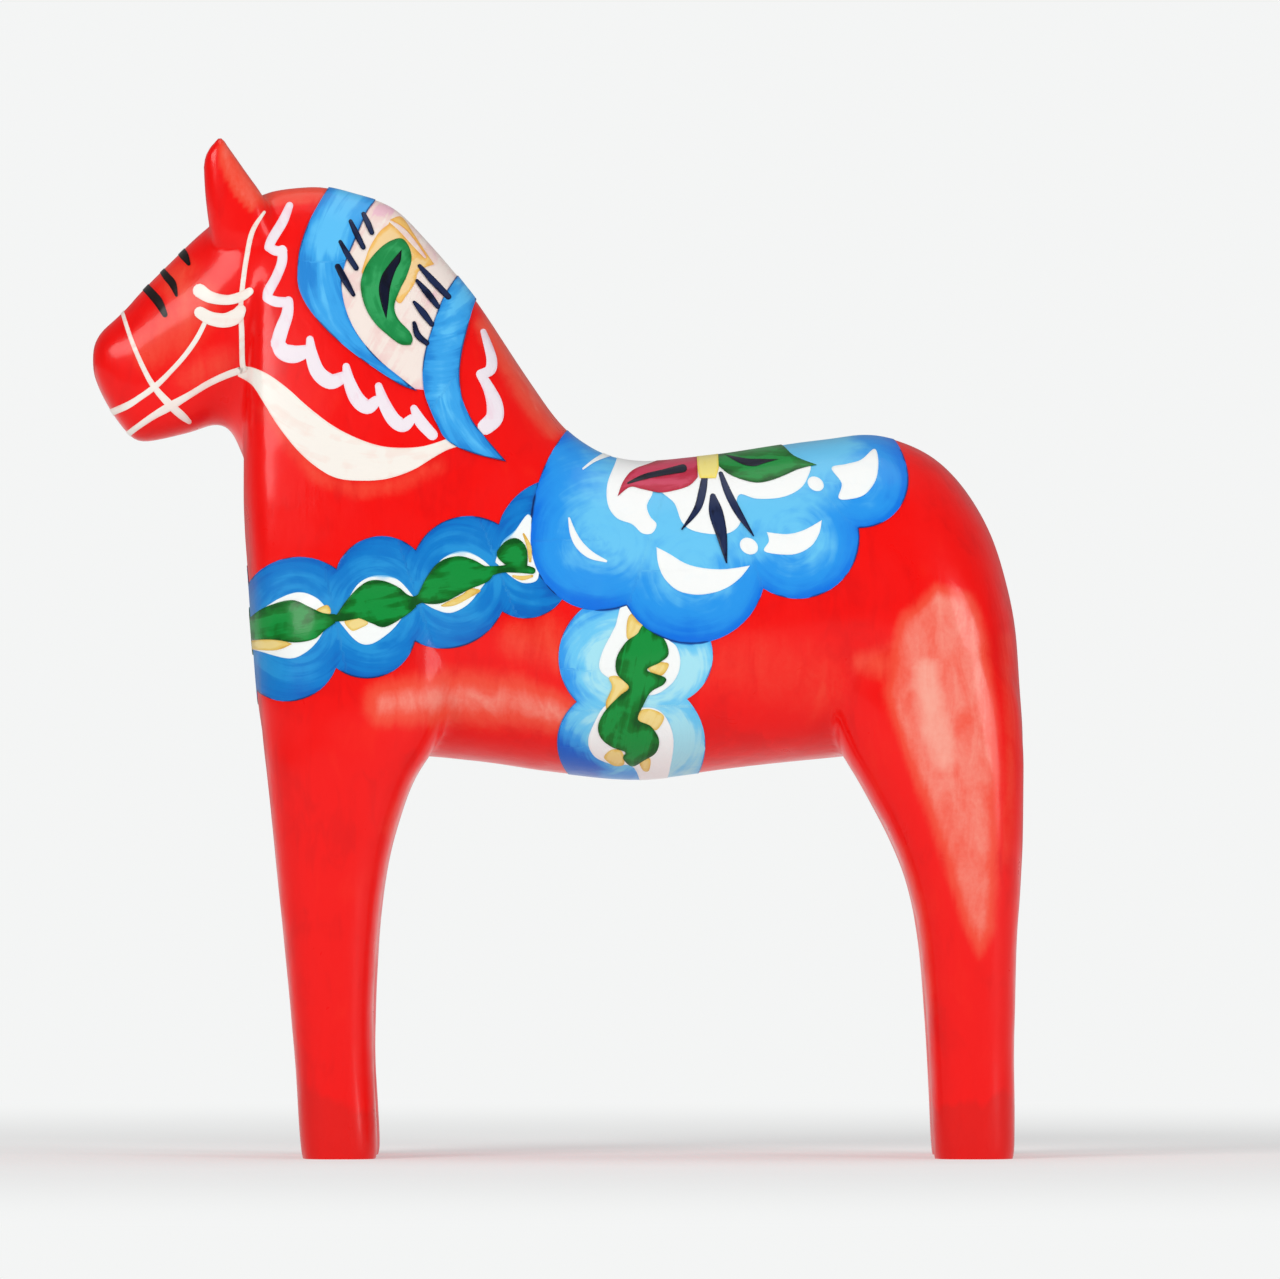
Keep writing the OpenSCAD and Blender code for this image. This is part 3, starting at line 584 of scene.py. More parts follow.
def layFigure(name, node, slot, outlines, skin, flowing, front=None, less=(), paint=None, tones=()):
    tool = cutter(outlines[0])
    for points in outlines[1:]:
        carve(tool, cutter(points), "UNION")
    for points in less:
        carve(tool, cutter(points), "DIFFERENCE")
    segments = edgeSegments(tool)
    if front:
        frontTool = cutter(front, frontwards=True)
        frontSegments = edgeSegments(frontTool, frontwards=True)
        carve(tool, frontTool, "UNION")
    piece = carve(copyOf(skins[skin], name), tool, "INTERSECT")
    with editing(piece):
        bpy.ops.mesh.subdivide(number_cuts=1)
        bpy.ops.mesh.quads_convert_to_tris()
    places = placesOf(piece)
    sideOn = places[:, [0, 2]]
    rim = insideDistance(sideOn, segments)
    if front:
        rim = np.maximum(rim, insideDistance(places[:, [1, 2]], frontSegments))
    tone = np.zeros(len(places))
    for x, z, radius, amount in tones:
        tone += amount * fading(1 - np.hypot(places[:, 0] - x, places[:, 2] - z) / radius)
    setAttribute(piece, "rim", np.maximum(rim, 0))
    # the third number keeps the two flanks from having the same streaks
    brush = np.column_stack([brushField(sideOn, flowing), places[:, 1] > 0])
    setAttribute(piece, "brush", brush, "FLOAT_VECTOR")
    setAttribute(piece, "tone", tone)
    dress(piece, node, paint or slot)


# shader nodes, and the node groups that the paints share


def feed(tree, socket, given):
    # a number or a colour is set, and anything else is linked
    if isinstance(given, (int, float)):
        socket.default_value = given
    elif isinstance(given, tuple):
        socket.default_value = (*given, 1)
    else:
        tree.links.new(given, socket)


def sums(tree, how, a, b, clamp=False):
    node = tree.nodes.new("ShaderNodeMath")
    node.operation = how
    node.use_clamp = clamp
    feed(tree, node.inputs[0], a)
    feed(tree, node.inputs[1], b)
    return node.outputs[0]


def times(tree, a, b):
    return sums(tree, "MULTIPLY", a, b)


def together(tree, *terms):
    # a plain value, or a value and its weight, added up
    run = None
    for term in terms:
        part = times(tree, *term) if isinstance(term, tuple) else term
        run = part if run is None else sums(tree, "ADD", run, part)
    return run


def ramp(tree, value, low, high, outLow=0.0, outHigh=1.0, smooth=True):
    node = tree.nodes.new("ShaderNodeMapRange")
    node.interpolation_type = "SMOOTHSTEP" if smooth else "LINEAR"
    labels = ("Value", "From Min", "From Max", "To Min", "To Max")
    for label, given in zip(labels, (value, low, high, outLow, outHigh)):
        feed(tree, node.inputs[label], given)
    return node.outputs["Result"]


def noiseOf(tree, vector, scale, detail=3.0, rough=0.55, distortion=0.0):
    node = tree.nodes.new("ShaderNodeTexNoise")
    labels = ("Vector", "Scale", "Detail", "Roughness", "Distortion")
    for label, given in zip(labels, (vector, scale, detail, rough, distortion)):
        feed(tree, node.inputs[label], given)
    return node.outputs["Fac"]


def scaled(tree, vector, factors, shift=(0, 0, 0)):
    node = tree.nodes.new("ShaderNodeMapping")
    node.inputs["Scale"].default_value = factors
    node.inputs["Location"].default_value = shift
    tree.links.new(vector, node.inputs["Vector"])
    return node.outputs["Vector"]


def placeInMm(tree):
    place = tree.nodes.new("ShaderNodeTexCoord").outputs["Object"]
    return scaled(tree, place, (1 / mm, 1 / mm, 1 / mm))


def attributeOf(tree, name, output="Fac"):
    node = tree.nodes.new("ShaderNodeAttribute")
    node.attribute_name = name
    return node.outputs[output]


def blendColour(tree, factor, a, b):
    node = tree.nodes.new("ShaderNodeMix")
    node.data_type = "RGBA"
    for socket, given in zip((node.inputs[0], node.inputs[6], node.inputs[7]), (factor, a, b)):
        feed(tree, socket, given)
    return node.outputs[2]


def newGroup(name, inputs, outputs):
    group = bpy.data.node_groups.new(name, "ShaderNodeTree")
    for label, value in inputs.items():
        socket = group.interface.new_socket(label, in_out="INPUT", socket_type="NodeSocketFloat")
        socket.default_value = value
    for label in outputs:
        group.interface.new_socket(label, in_out="OUTPUT", socket_type="NodeSocketFloat")
    return group, group.nodes.new("NodeGroupInput").outputs, group.nodes.new("NodeGroupOutput").inputs


def brushMarkGroup():
    # bristle lines along the stroke, and pools where the paint lay wet
    group, ins, outs = newGroup(
        "brushMarks", {"Bristle Width": 0.6, "Pool Size": 5.0}, ("Bristles", "Streaks", "Pools"))
    mark = attributeOf(group, "brush", "Vector")
    perWidth = sums(group, "DIVIDE", 1.0, ins["Bristle Width"])
    perPool = sums(group, "DIVIDE", 1.0, ins["Pool Size"])
    bristles = noiseOf(group, scaled(group, mark, (0.10, 1.0, 9.0)), perWidth, 4.0, 0.6, 0.1)
    streaks = noiseOf(group, scaled(group, mark, (0.07, 0.75, 9.0)), 0.75, 3.0, 0.55, 0.5)
    pools = noiseOf(group, placeInMm(group), perPool, 3.0, 0.5, 0.8)
    group.links.new(bristles, outs["Bristles"])
    group.links.new(streaks, outs["Streaks"])
    group.links.new(pools, outs["Pools"])
    return group


def rimGroup():
    # what changes from a figure's edge inwards
    group, ins, outs = newGroup("figureRim", {"Rim Width": 2.0, "Line Width": 0.3}, ("Inside", "Line", "Bead"))
    rim = attributeOf(group, "rim")
    inMm = placeInMm(group)
    slow = noiseOf(group, inMm, 0.22, 2.0, 0.5)
    quick = noiseOf(group, inMm, 0.16, 2.0, 0.5)
    width = times(group, ins["Rim Width"], sums(group, "ADD", 0.4, times(group, slow, 1.2)))
    inside = sums(group, "POWER", ramp(group, rim, 0.0, width, smooth=False), 0.55)
    # the thin dark line comes and goes
    lineWide = times(group, ins["Line Width"], ramp(group, quick, 0.40, 0.62))
    nearEdge = ramp(group, rim, 0.0, sums(group, "ADD", lineWide, 0.001), 1.0, 0.0)
    line = times(group, nearEdge, ramp(group, lineWide, 0.02, 0.12))
    group.links.new(inside, outs["Inside"])
    group.links.new(line, outs["Line"])
    group.links.new(ramp(group, rim, 0.0, 0.45), outs["Bead"])
    return group


def varnishGroup():
    # slow sags and fine specks in the clear coat, over faint pine grain
    group, ins, outs = newGroup("varnish", {"Matt": 0.42, "Shine": 0.28}, ("Roughness", "Height"))
    inMm = placeInMm(group)
    smears = noiseOf(group, inMm, 0.09, 4.0, 0.6, 0.6)
    specks = noiseOf(group, inMm, 1.6, 2.0, 0.5)
    sags = noiseOf(group, scaled(group, inMm, (1, 1, 0.4)), 0.35, 2.0, 0.5)
    grain = noiseOf(group, scaled(group, inMm, (1, 1, 0.045)), 0.8, 4.0, 0.65, 0.3)
    group.links.new(ramp(group, smears, 0.3, 0.7, ins["Shine"], ins["Matt"]), outs["Roughness"])
    group.links.new(together(group, (specks, 0.16), (sags, 0.5), (grain, 0.42)), outs["Height"])
    return group


groups = {"marks": brushMarkGroup(), "rim": rimGroup(), "varnish": varnishGroup()}


def useGroup(tree, name, values):
    node = tree.nodes.new("ShaderNodeGroup")
    node.node_tree = groups[name]
    for label, value in values.items():
        node.inputs[label].default_value = value
    return node.outputs


def linear(*rgb):
    return tuple((c / 255 / 12.92 if c <= 10 else ((c / 255 + 0.055) / 1.055) ** 2.4) for c in rgb)


def newMaterial(name, **constants):
    material = bpy.data.materials.new(name)
    material.use_nodes = True
    tree = material.node_tree
    shader = tree.nodes["Principled BSDF"].inputs
    for label, value in {"IOR": 1.46, "Specular_IOR_Level": 0.16, **constants}.items():
        shader[label.replace("_", " ")].default_value = value
    return material, tree, shader


def addRelief(tree, shader, height, depth):
    bump = tree.nodes.new("ShaderNodeBump")
    bump.inputs["Strength"].default_value = 0.6
    bump.inputs["Distance"].default_value = depth * mm
    tree.links.new(height, bump.inputs["Height"])
    tree.links.new(bump.outputs["Normal"], shader["Normal"])


# edge, body and light tones of each brushed paint, and how it was worked; some have a thin dark line round them
brushed = {
    "blue_paint": {
        "edge": (4, 112, 224), "body": (38, 150, 235), "light": (104, 198, 243), "line": (4, 34, 98),
        "rimWidth": 15.0, "lineWidth": 0.5, "streak": 0.15, "pool": 0.06, "bristle": 0.7,
    },
    "band_blue": {
        "edge": (3, 98, 188), "body": (9, 122, 203), "light": (34, 146, 216), "line": (4, 26, 74),
        "rimWidth": 8.0, "lineWidth": 0.5, "streak": 0.42, "pool": 0.14, "bristle": 0.7,
    },
    "mane_blue": {
        "edge": (34, 134, 214), "body": (58, 164, 234), "light": (92, 192, 246), "line": (12, 50, 110),
        "rimWidth": 6.0, "lineWidth": 0.45, "streak": 0.5, "pool": 0.14, "bristle": 0.6,
    },
    "sky_paint": {
        "deep": (4, 100, 212), "edge": (52, 156, 236), "body": (108, 200, 243), "light": (166, 227, 242),
        "line": (20, 96, 180),
        "rimWidth": 8.0, "lineWidth": 0.45, "streak": 0.34, "pool": 0.18, "bristle": 0.8,
    },
    "white_paint": {
        "edge": (226, 238, 242), "body": (243, 247, 247), "light": (246, 248, 247),
        "rimWidth": 0.6, "streak": 0.4, "pool": 0.2, "bristle": 0.4,
    },
    "eye_white": {
        "deep": (70, 160, 222), "edge": (120, 192, 234), "body": (240, 246, 246), "light": (245, 248, 247),
        "rimWidth": 0.35, "streak": 0.2, "pool": 0.2, "bristle": 0.4,
    },
    "cream_paint": {
        "edge": (243, 212, 202), "body": (244, 230, 221), "light": (245, 239, 231),
        "rimWidth": 0.5, "streak": 0.5, "pool": 0.6, "bristle": 0.5,
    },
    "lilac_paint": {
        "edge": (240, 204, 216), "body": (240, 218, 228), "light": (241, 231, 238),
        "rimWidth": 0.5, "streak": 0.5, "pool": 0.7, "bristle": 0.5,
    },
    "pink_paint": {
        "edge": (236, 188, 202), "body": (240, 212, 206), "light": (243, 229, 221),
        "rimWidth": 3.0, "streak": 0.5, "pool": 0.5, "bristle": 0.8,
    },
    "yellow_paint": {
        "edge": (220, 174, 74), "body": (233, 201, 108), "light": (240, 216, 142),
        "rimWidth": 0.8, "streak": 0.5, "pool": 0.5, "bristle": 0.5,
    },
    "mane_yellow": {
        "edge": (238, 176, 84), "body": (243, 193, 106), "light": (244, 209, 152),
        "rimWidth": 1.4, "streak": 0.4, "pool": 0.6, "bristle": 0.5,
    },
    "heart_yellow": {
        "edge": (238, 202, 70), "body": (246, 225, 98), "light": (247, 232, 136),
        "rimWidth": 0.8, "streak": 0.4, "pool": 0.4, "bristle": 0.5,
    },
    "green_paint": {
        "edge": (2, 82, 22), "body": (5, 113, 34), "light": (12, 142, 58),
        "rimWidth": 1.8, "streak": 0.7, "pool": 0.8, "bristle": 0.45,
    },
    "mane_green": {
        "edge": (12, 114, 50), "body": (28, 138, 72), "light": (50, 160, 92),
        "rimWidth": 1.6, "streak": 0.5, "pool": 0.6, "bristle": 0.45,
    },
    "navy_paint": {
        "edge": (22, 34, 70), "body": (8, 14, 40), "light": (26, 40, 78),
        "rimWidth": 0.3, "streak": 0.5, "pool": 0.7, "bristle": 0.35,
    },
    "ink_black": {
        "edge": (4, 8, 22), "body": (4, 6, 18), "light": (12, 18, 42),
        "rimWidth": 0.3, "streak": 0.4, "pool": 0.5, "bristle": 0.35,
    },
    "crimson_paint": {
        "edge": (172, 16, 46), "body": (188, 28, 62), "light": (206, 58, 92),
        "rimWidth": 1.0, "streak": 0.5, "pool": 0.6, "bristle": 0.45,
    },
    "black_paint": {
        "edge": (4, 3, 3), "body": (10, 5, 5), "light": (30, 20, 20),
        "rimWidth": 0.3, "streak": 0.4, "pool": 0.4, "bristle": 0.35,
    },
}


def brushedPaint(name, look):
    material, tree, shader = newMaterial(name, Coat_Weight=0.2, Coat_Roughness=0.14)
    marks = useGroup(tree, "marks", {"Bristle Width": look["bristle"], "Pool Size": 5.0})
    rim = useGroup(tree, "rim", {"Rim Width": look["rimWidth"], "Line Width": look.get("lineWidth", 0.0)})
    varnish = useGroup(tree, "varnish", {"Matt": 0.44, "Shine": 0.30})
    streaks = ramp(tree, marks["Streaks"], 0.34, 0.68, -look["streak"] / 2, look["streak"] / 2)
    pools = ramp(tree, marks["Pools"], 0.3, 0.7, -look["pool"] / 2, look["pool"] / 2)
    lift = together(tree, rim["Inside"], attributeOf(tree, "tone"), streaks, pools)
    keys = ("deep", "edge", "body", "light")
    deep, edge, body, light = (linear(*look.get(key, look["edge"])) for key in keys)
    colour = blendColour(tree, ramp(tree, lift, -0.7, 0.0), deep, edge)
    colour = blendColour(tree, ramp(tree, lift, 0.0, 0.5), colour, body)
    colour = blendColour(tree, ramp(tree, lift, 0.5, 1.0), colour, light)
    if "line" in look:
        colour = blendColour(tree, rim["Line"], colour, linear(*look["line"]))
    tree.links.new(colour, shader["Base Color"])
    tree.links.new(varnish["Roughness"], shader["Roughness"])
    height = together(tree, (marks["Bristles"], 0.55), (rim["Bead"], 0.7), (varnish["Height"], 0.6))
    addRelief(tree, shader, height, 0.16)
    return material


redCoatLook = {
    # mid and pale are the lighter reds of the painted highlights; deep, body and warm vary at random
    "deep": (232, 4, 3), "body": (243, 6, 3), "warm": (245, 22, 8),
    "mid": (242, 76, 54), "pale": (247, 168, 150), "foot": (224, 16, 10),
    "footTop": (24.0, 27.0),    # where the deeper foot ends, before the clouds lower it
}


def redPaint(look):
    material, tree, shader = newMaterial("red_paint", Coat_Weight=0.25, Coat_Roughness=0.12)
    varnish = useGroup(tree, "varnish", {"Matt": 0.42, "Shine": 0.27})
    inMm = placeInMm(tree)
    clouds = noiseOf(tree, inMm, 0.045, 3.0, 0.5, 0.6)
    brush = noiseOf(tree, scaled(tree, inMm, (1.0, 1.0, 0.34)), 0.26, 3.0, 0.55, 0.7)
    fleck = noiseOf(tree, inMm, 1.1, 3.0, 0.6)
    paintedHighlight = attributeOf(tree, "paintedHighlight")
    tones = {key: linear(*look[key]) for key in ("deep", "body", "warm", "mid", "pale", "foot")}
    tone = together(tree, (clouds, 0.6), (brush, 0.4))
    colour = blendColour(tree, ramp(tree, tone, 0.36, 0.52), tones["deep"], tones["body"])
    colour = blendColour(tree, ramp(tree, tone, 0.54, 0.70), colour, tones["warm"])
    # the painted highlights are streaky, and the whole coat is flecked
    streaky = times(tree, sums(tree, "SUBTRACT", together(tree, (brush, 0.6), (clouds, 0.4)), 0.5), 0.7)
    flecked = times(tree, sums(tree, "SUBTRACT", fleck, 0.5), 0.12)
    highlightAndFlecks = together(tree, paintedHighlight, (streaky, ramp(tree, paintedHighlight, 0.0, 0.3)))
    highlightAndFlecks = sums(tree, "ADD", highlightAndFlecks, flecked, clamp=True)
    # painted highlight: the red turns mid and then pale over the highlight patches
    colour = blendColour(tree, ramp(tree, highlightAndFlecks, 0.04, 0.52), colour, tones["mid"])
    colour = blendColour(tree, ramp(tree, highlightAndFlecks, 0.45, 1.0), colour, tones["pale"])
    # the red is mixed deeper towards the soles
    height = tree.nodes.new("ShaderNodeSeparateXYZ")
    tree.links.new(inMm, height.inputs[0])
    low = together(tree, height.outputs["Z"], (clouds, 26.0))
    colour = blendColour(tree, ramp(tree, low, *look["footTop"], 0.75, 0.0), colour, tones["foot"])
    tree.links.new(colour, shader["Base Color"])
    tree.links.new(varnish["Roughness"], shader["Roughness"])
    addRelief(tree, shader, together(tree, varnish["Height"], (brush, 0.25)), 0.16)
    return material


pineLook = {"early": (226, 196, 148), "late": (178, 128, 76), "pore": (150, 104, 62), "heartAway": (12, 46, 0)}


def barePine(look):
    # end grain, as the growth rings are cut straight across at the soles
    material, tree, shader = newMaterial("bare_pine")
    place = tree.nodes.new("ShaderNodeTexCoord").outputs["Object"]
    inMm = scaled(tree, place, (1 / mm, 1 / mm, 0.15 / mm))
    rings = tree.nodes.new("ShaderNodeTexWave")
    rings.wave_type = "RINGS"
    rings.rings_direction = "Z"
    for label, value in (("Scale", 0.17), ("Distortion", 1.4), ("Detail", 3.0)):
        rings.inputs[label].default_value = value
    tree.links.new(scaled(tree, inMm, (1, 1, 1), look["heartAway"]), rings.inputs["Vector"])
    pores = noiseOf(tree, inMm, 2.4, 3.0, 0.6)
    late = ramp(tree, rings.outputs["Fac"], 0.55, 0.95)
    colour = blendColour(tree, late, linear(*look["early"]), linear(*look["late"]))
    colour = blendColour(tree, ramp(tree, pores, 0.5, 0.75, 0.0, 0.35), colour, linear(*look["pore"]))
    tree.links.new(colour, shader["Base Color"])
    tree.links.new(ramp(tree, pores, 0.3, 0.7, 0.62, 0.80), shader["Roughness"])
    addRelief(tree, shader, together(tree, pores, rings.outputs["Fac"]), 0.12)
    return material


finishes = {name: brushedPaint(name, look) for name, look in brushed.items()}
finishes["red_paint"] = redPaint(redCoatLook)
finishes["bare_pine"] = barePine(pineLook)
print("finishes mixed")

# the pine and the dipped coat

# painted highlights, lighter red where light falls on the rounded thigh, belly, shoulder, neck, head and legs:
# x, z and half width along each patch, then strength
highlightPatches = [
    ([(74, 98, 7), (74.5, 92, 9), (77.5, 80, 7)], 0.90),
    ([(61, 99.5, 3.5), (70, 99, 7)], 0.42),
    ([(52, 96, 12), (40, 99, 12), (30, 99, 9)], 0.20),
    ([(-34, 91.5, 6), (-22, 92.8, 7), (-9, 91.8, 7), (2, 89, 5)], 0.68),
    ([(-8, 104, 6), (-3, 104, 8), (3, 100, 6)], 0.34),
    ([(-58, 150, 3), (-53, 143, 3), (-48, 137, 3), (-40, 134, 3), (-32, 135, 3), (-24, 139, 3)], 0.30),
    ([(-76, 176, 7), (-72, 172, 7), (-77, 166, 8), (-82, 162, 6)], 0.36),
    ([(-67, 160, 5), (-74, 157, 5)], 0.24),
    ([(-66.6, 203, 2.4), (-64.6, 198, 3.4), (-60.6, 193, 3.6)], 0.44),
    ([(-59, 193.5, 3), (-47, 194.5, 3)], 0.42),
    ([(-14, 167, 3.5), (-6, 155, 4.6), (-1, 147, 3.5)], 0.50),
    ([(-33, 66, 3.5), (-28, 76, 3)], 0.26),
    ([(68.5, 62, 3), (72, 50, 3), (74.5, 30, 3)], 0.22),
    ([(90, 60, 2.5), (91, 84, 2.5), (90, 104, 3)], 0.22),
]

# painted highlights on flat planes of the thigh, ear and poll: the outline, the strength, and how wide its edge
# fades
highlightPlanes = [
    (
        [
            (66.5, 102), (69, 109), (76, 115), (83, 113), (86.3, 104), (87.8, 90), (88.4, 76), (88.2, 60),
            (87.4, 46), (84.6, 40.5), (81.4, 47), (78.2, 57), (74, 69), (69.5, 82), (65.5, 93),
        ],
        0.66,
        5.0,
    ),
    (
        [
            (-67.7, 206), (-68.2, 201), (-67, 197), (-65, 193.6), (-61.4, 189.8), (-58.6, 193.6),
            (-61.6, 197.5), (-65, 202.5), (-67, 206),
        ],
        0.54,
        1.5,
    ),
    ([(-59.5, 191.2), (-47.6, 191.6), (-46, 198), (-58, 198)], 0.34, 1.5),
]

patchReach = 1.3                # a patch fades out at this many of its half widths
planeEdge = 0.45                # what is left on a plane's outline, before the fade is softened


def patchShare(spots, path):
    # one at a patch's middle line, falling to nothing beside it
    share = np.zeros(len(spots))
    for (ax, az, ar), (bx, bz, br) in zip(path[:-1], path[1:]):
        a, b = np.array((ax, az)), np.array((bx, bz))
        t = np.clip(((spots - a) @ (b - a)) / ((b - a) @ (b - a)), 0, 1)
        gap = np.linalg.norm(spots - a - t[:, None] * (b - a), axis=1)
        share = np.maximum(share, 1 - gap / (patchReach * (ar + (br - ar) * t)))
    return share


def makePine():
    dress(cutAtSoles(copyOf(carved, "pineBlock")), "pine_body", "bare_pine")


def makeCoat():
    piece = cutAtSoles(swell(copyOf(carved, "redCoat"), coats["red"][1]))
    carve(piece, applied(copyOf(carved, "core"), "DECIMATE", ratio=0.12), "DIFFERENCE")
    sideOn = placesOf(piece)[:, [0, 2]]
    # painted highlight: lighter red laid where light falls on the rounded parts
    paintedHighlight = np.zeros(len(sideOn))
    for path, strength in highlightPatches:
        paintedHighlight = np.maximum(paintedHighlight, strength * fading(patchShare(sideOn, path)))
    for plane, strength, fade in highlightPlanes:
        corners = np.array(plane, float)
        rim = insideDistance(sideOn, np.stack([corners, np.roll(corners, -1, axis=0)], axis=1))
        paintedHighlight = np.maximum(paintedHighlight, strength * fading(rim / fade + planeEdge))
    setAttribute(piece, "paintedHighlight", paintedHighlight)
    dress(piece, "red_coat", "red_paint")


makePine()
makeCoat()
print("pine and red coat made")

# the mane

mane = {
    "frontBorder": outline(
        ("line", [(-45, 199)]),
        ("curve", [
            (-46.0, 195.4), (-48.8, 190.4), (-50.4, 187), (-51.8, 182.5), (-52.2, 178.5), (-52.0, 175.0),
            (-50.5, 171.5), (-48.0, 168.1), (-45.0, 165.0), (-41, 161.6), (-36.5, 158.4), (-31.5, 155.2),
            (-28.0, 153.9),
        ]),
        ("curve", [
            (-28.0, 153.9), (-31, 156.3), (-35.5, 160.0), (-39.5, 164.5), (-41.8, 168.6), (-43, 172.6),
            (-43.3, 176), (-42.6, 179.6), (-41, 183.6), (-39.6, 187.0), (-38.4, 190), (-36.8, 192.4),
        ]),
        ("line", [(-35.5, 198)]),
    ),
    "rearBand": outline(
        ("line", [(-17.5, 181)]),
        ("curve", [
            (-20.5, 176.9), (-22.5, 173.7), (-24, 170.2), (-25.3, 166.2), (-26.6, 161.5), (-27, 157.5),
            (-26.6, 153.5), (-25.5, 150.3), (-24, 147), (-22.6, 144.6), (-20.2, 142.8), (-16.5, 141.3),
            (-13, 140.4), (-10.2, 139.8),
        ]),
        ("curve", [
            (-10.2, 139.8), (-12.5, 142.4), (-14.7, 145), (-17, 148), (-18.9, 152), (-19.6, 157),
            (-19.1, 162), (-18.0, 166.8), (-17.1, 170.4), (-15.9, 174),
        ]),
        ("line", [(-13.5, 178.5)]),
    ),
    "field": outline(
        ("line", [(-36.5, 198), (-41, 187), (-46, 178), (-44, 168), (-39, 161)]),
        ("line", [(-29.5, 154.4), (-25, 154), (-22.5, 164), (-20, 172), (-15, 181), (-22, 190)]),
    ),
    "heart": curves(
        [(-24.8, 179.6), (-27.0, 182.8), (-29.2, 186.2), (-31.4, 189.2), (-33.6, 188.6)],
        [(-34.0, 187.6), (-35.9, 185.9), (-37.9, 182.4), (-39.3, 178.0)],
        [
            (-39.2, 177.6), (-36.4, 177.4), (-33.8, 174.6), (-31.8, 171.6), (-30.2, 173.3), (-28.6, 175.8),
            (-27.8, 178.2), (-24.8, 179.6),
        ],
    ),
    "heartGap": brushStroke(
        (-33.6, 188.2, 0.5), (-31.4, 186.6, 1.1), (-29.2, 184.2, 1.1), (-26.6, 181.0, 0.5),
    ),
    "leaf": curves(
        [
            (-29.4, 163.2), (-31.4, 163.3), (-33.8, 165), (-36.6, 167.6), (-38.6, 171), (-39.5, 175.2),
            (-38.6, 178.8), (-36.8, 181.5), (-34.3, 183.8), (-31.5, 184.8), (-29.9, 183.2), (-29.3, 180.5),
            (-30.3, 177), (-31.6, 174.3), (-32.7, 171.0), (-31.9, 168.4), (-29.7, 166), (-29.0, 164.4),
            (-29.4, 163.2),
        ],
    ),
    "core": curves(
        [(-31.3, 182.5), (-31.5, 180.2), (-32.5, 178.2), (-33.5, 175), (-33.9, 171.5), (-34.3, 168.4)],
        [(-34.3, 168.4), (-35.2, 171), (-35.8, 174), (-35.4, 176.8), (-33.9, 179.3), (-31.3, 182.5)],
    ),
    "lashes": [
        [(-39.0, 189.7, 0.9), (-38.1, 187.8, 1.2), (-37.3, 185.9, 1.0)],
        [(-41.6, 188.2, 0.8), (-40.3, 185.5, 1.2), (-39.0, 182.9, 1.0)],
        [(-43.6, 184.0, 0.8), (-42.0, 181.2, 1.2), (-40.4, 178.7, 1.1)],
        [(-44.1, 179.0, 1.2), (-42.6, 176.2, 1.4), (-40.9, 173.3, 0.8)],
        [(-27.7, 179.2, 0.8), (-25.0, 176.2, 1.4), (-21.9, 173.0, 1.2)],
        [(-28.2, 176.2, 0.7), (-26.0, 173.6, 1.4), (-24.0, 171.0, 1.0)],
        [(-28.7, 171.8, 0.7), (-27.0, 169.8, 1.4), (-25.2, 167.4, 1.0)],
        [(-28.7, 167.6, 0.8), (-28.0, 165.2, 1.3), (-26.2, 163.6, 1.1)],
    ],
}

layFigure(
    "maneField", "mane_field", "pink_paint", [mane["field"]], "onRed", ("along", 60),
    tones=[
        (-36.5, 190, 4, -0.9), (-33, 191, 3.5, -0.8), (-26, 172, 4, -0.6), (-41, 177, 3, -0.5),
        (-24.5, 183, 5, -0.7),
    ],
)
layFigure(
    "maneBorder", "mane_border", "blue_paint", [mane["frontBorder"], mane["rearBand"]], "overFigures",
    ("around", [(-26, 180, 26), (5, 160, 28)]), paint="mane_blue",
    tones=[
        (-51, 177, 7, -0.5), (-46, 186, 7, 0.45), (-41, 192, 5, 0.3), (-23, 160, 6, -0.2),
        (-20, 172, 6, 0.3),
    ],
)
layFigure(
    "maneHeart", "mane_heart", "yellow_paint", [mane["heart"]], "onFigures", ("along", 45),
    less=[mane["heartGap"]], paint="mane_yellow",
)
layFigure(
    "maneLeaf", "mane_leaf", "green_paint", [mane["leaf"]], "overFigures", ("around", [(-24, 175, 12)]),
    paint="mane_green",
)
layFigure(
    "maneLeafCore", "mane_leaf_core", "navy_paint", [mane["core"]], "lastStrokes", ("along", 80),
    paint="ink_black",
)
layFigure("maneLashes", "mane_lashes", "navy_paint", strokes(mane["lashes"]), "lastStrokes", ("along", -55))
print("mane painted")

# scrolls, ribbon, bridle and brow

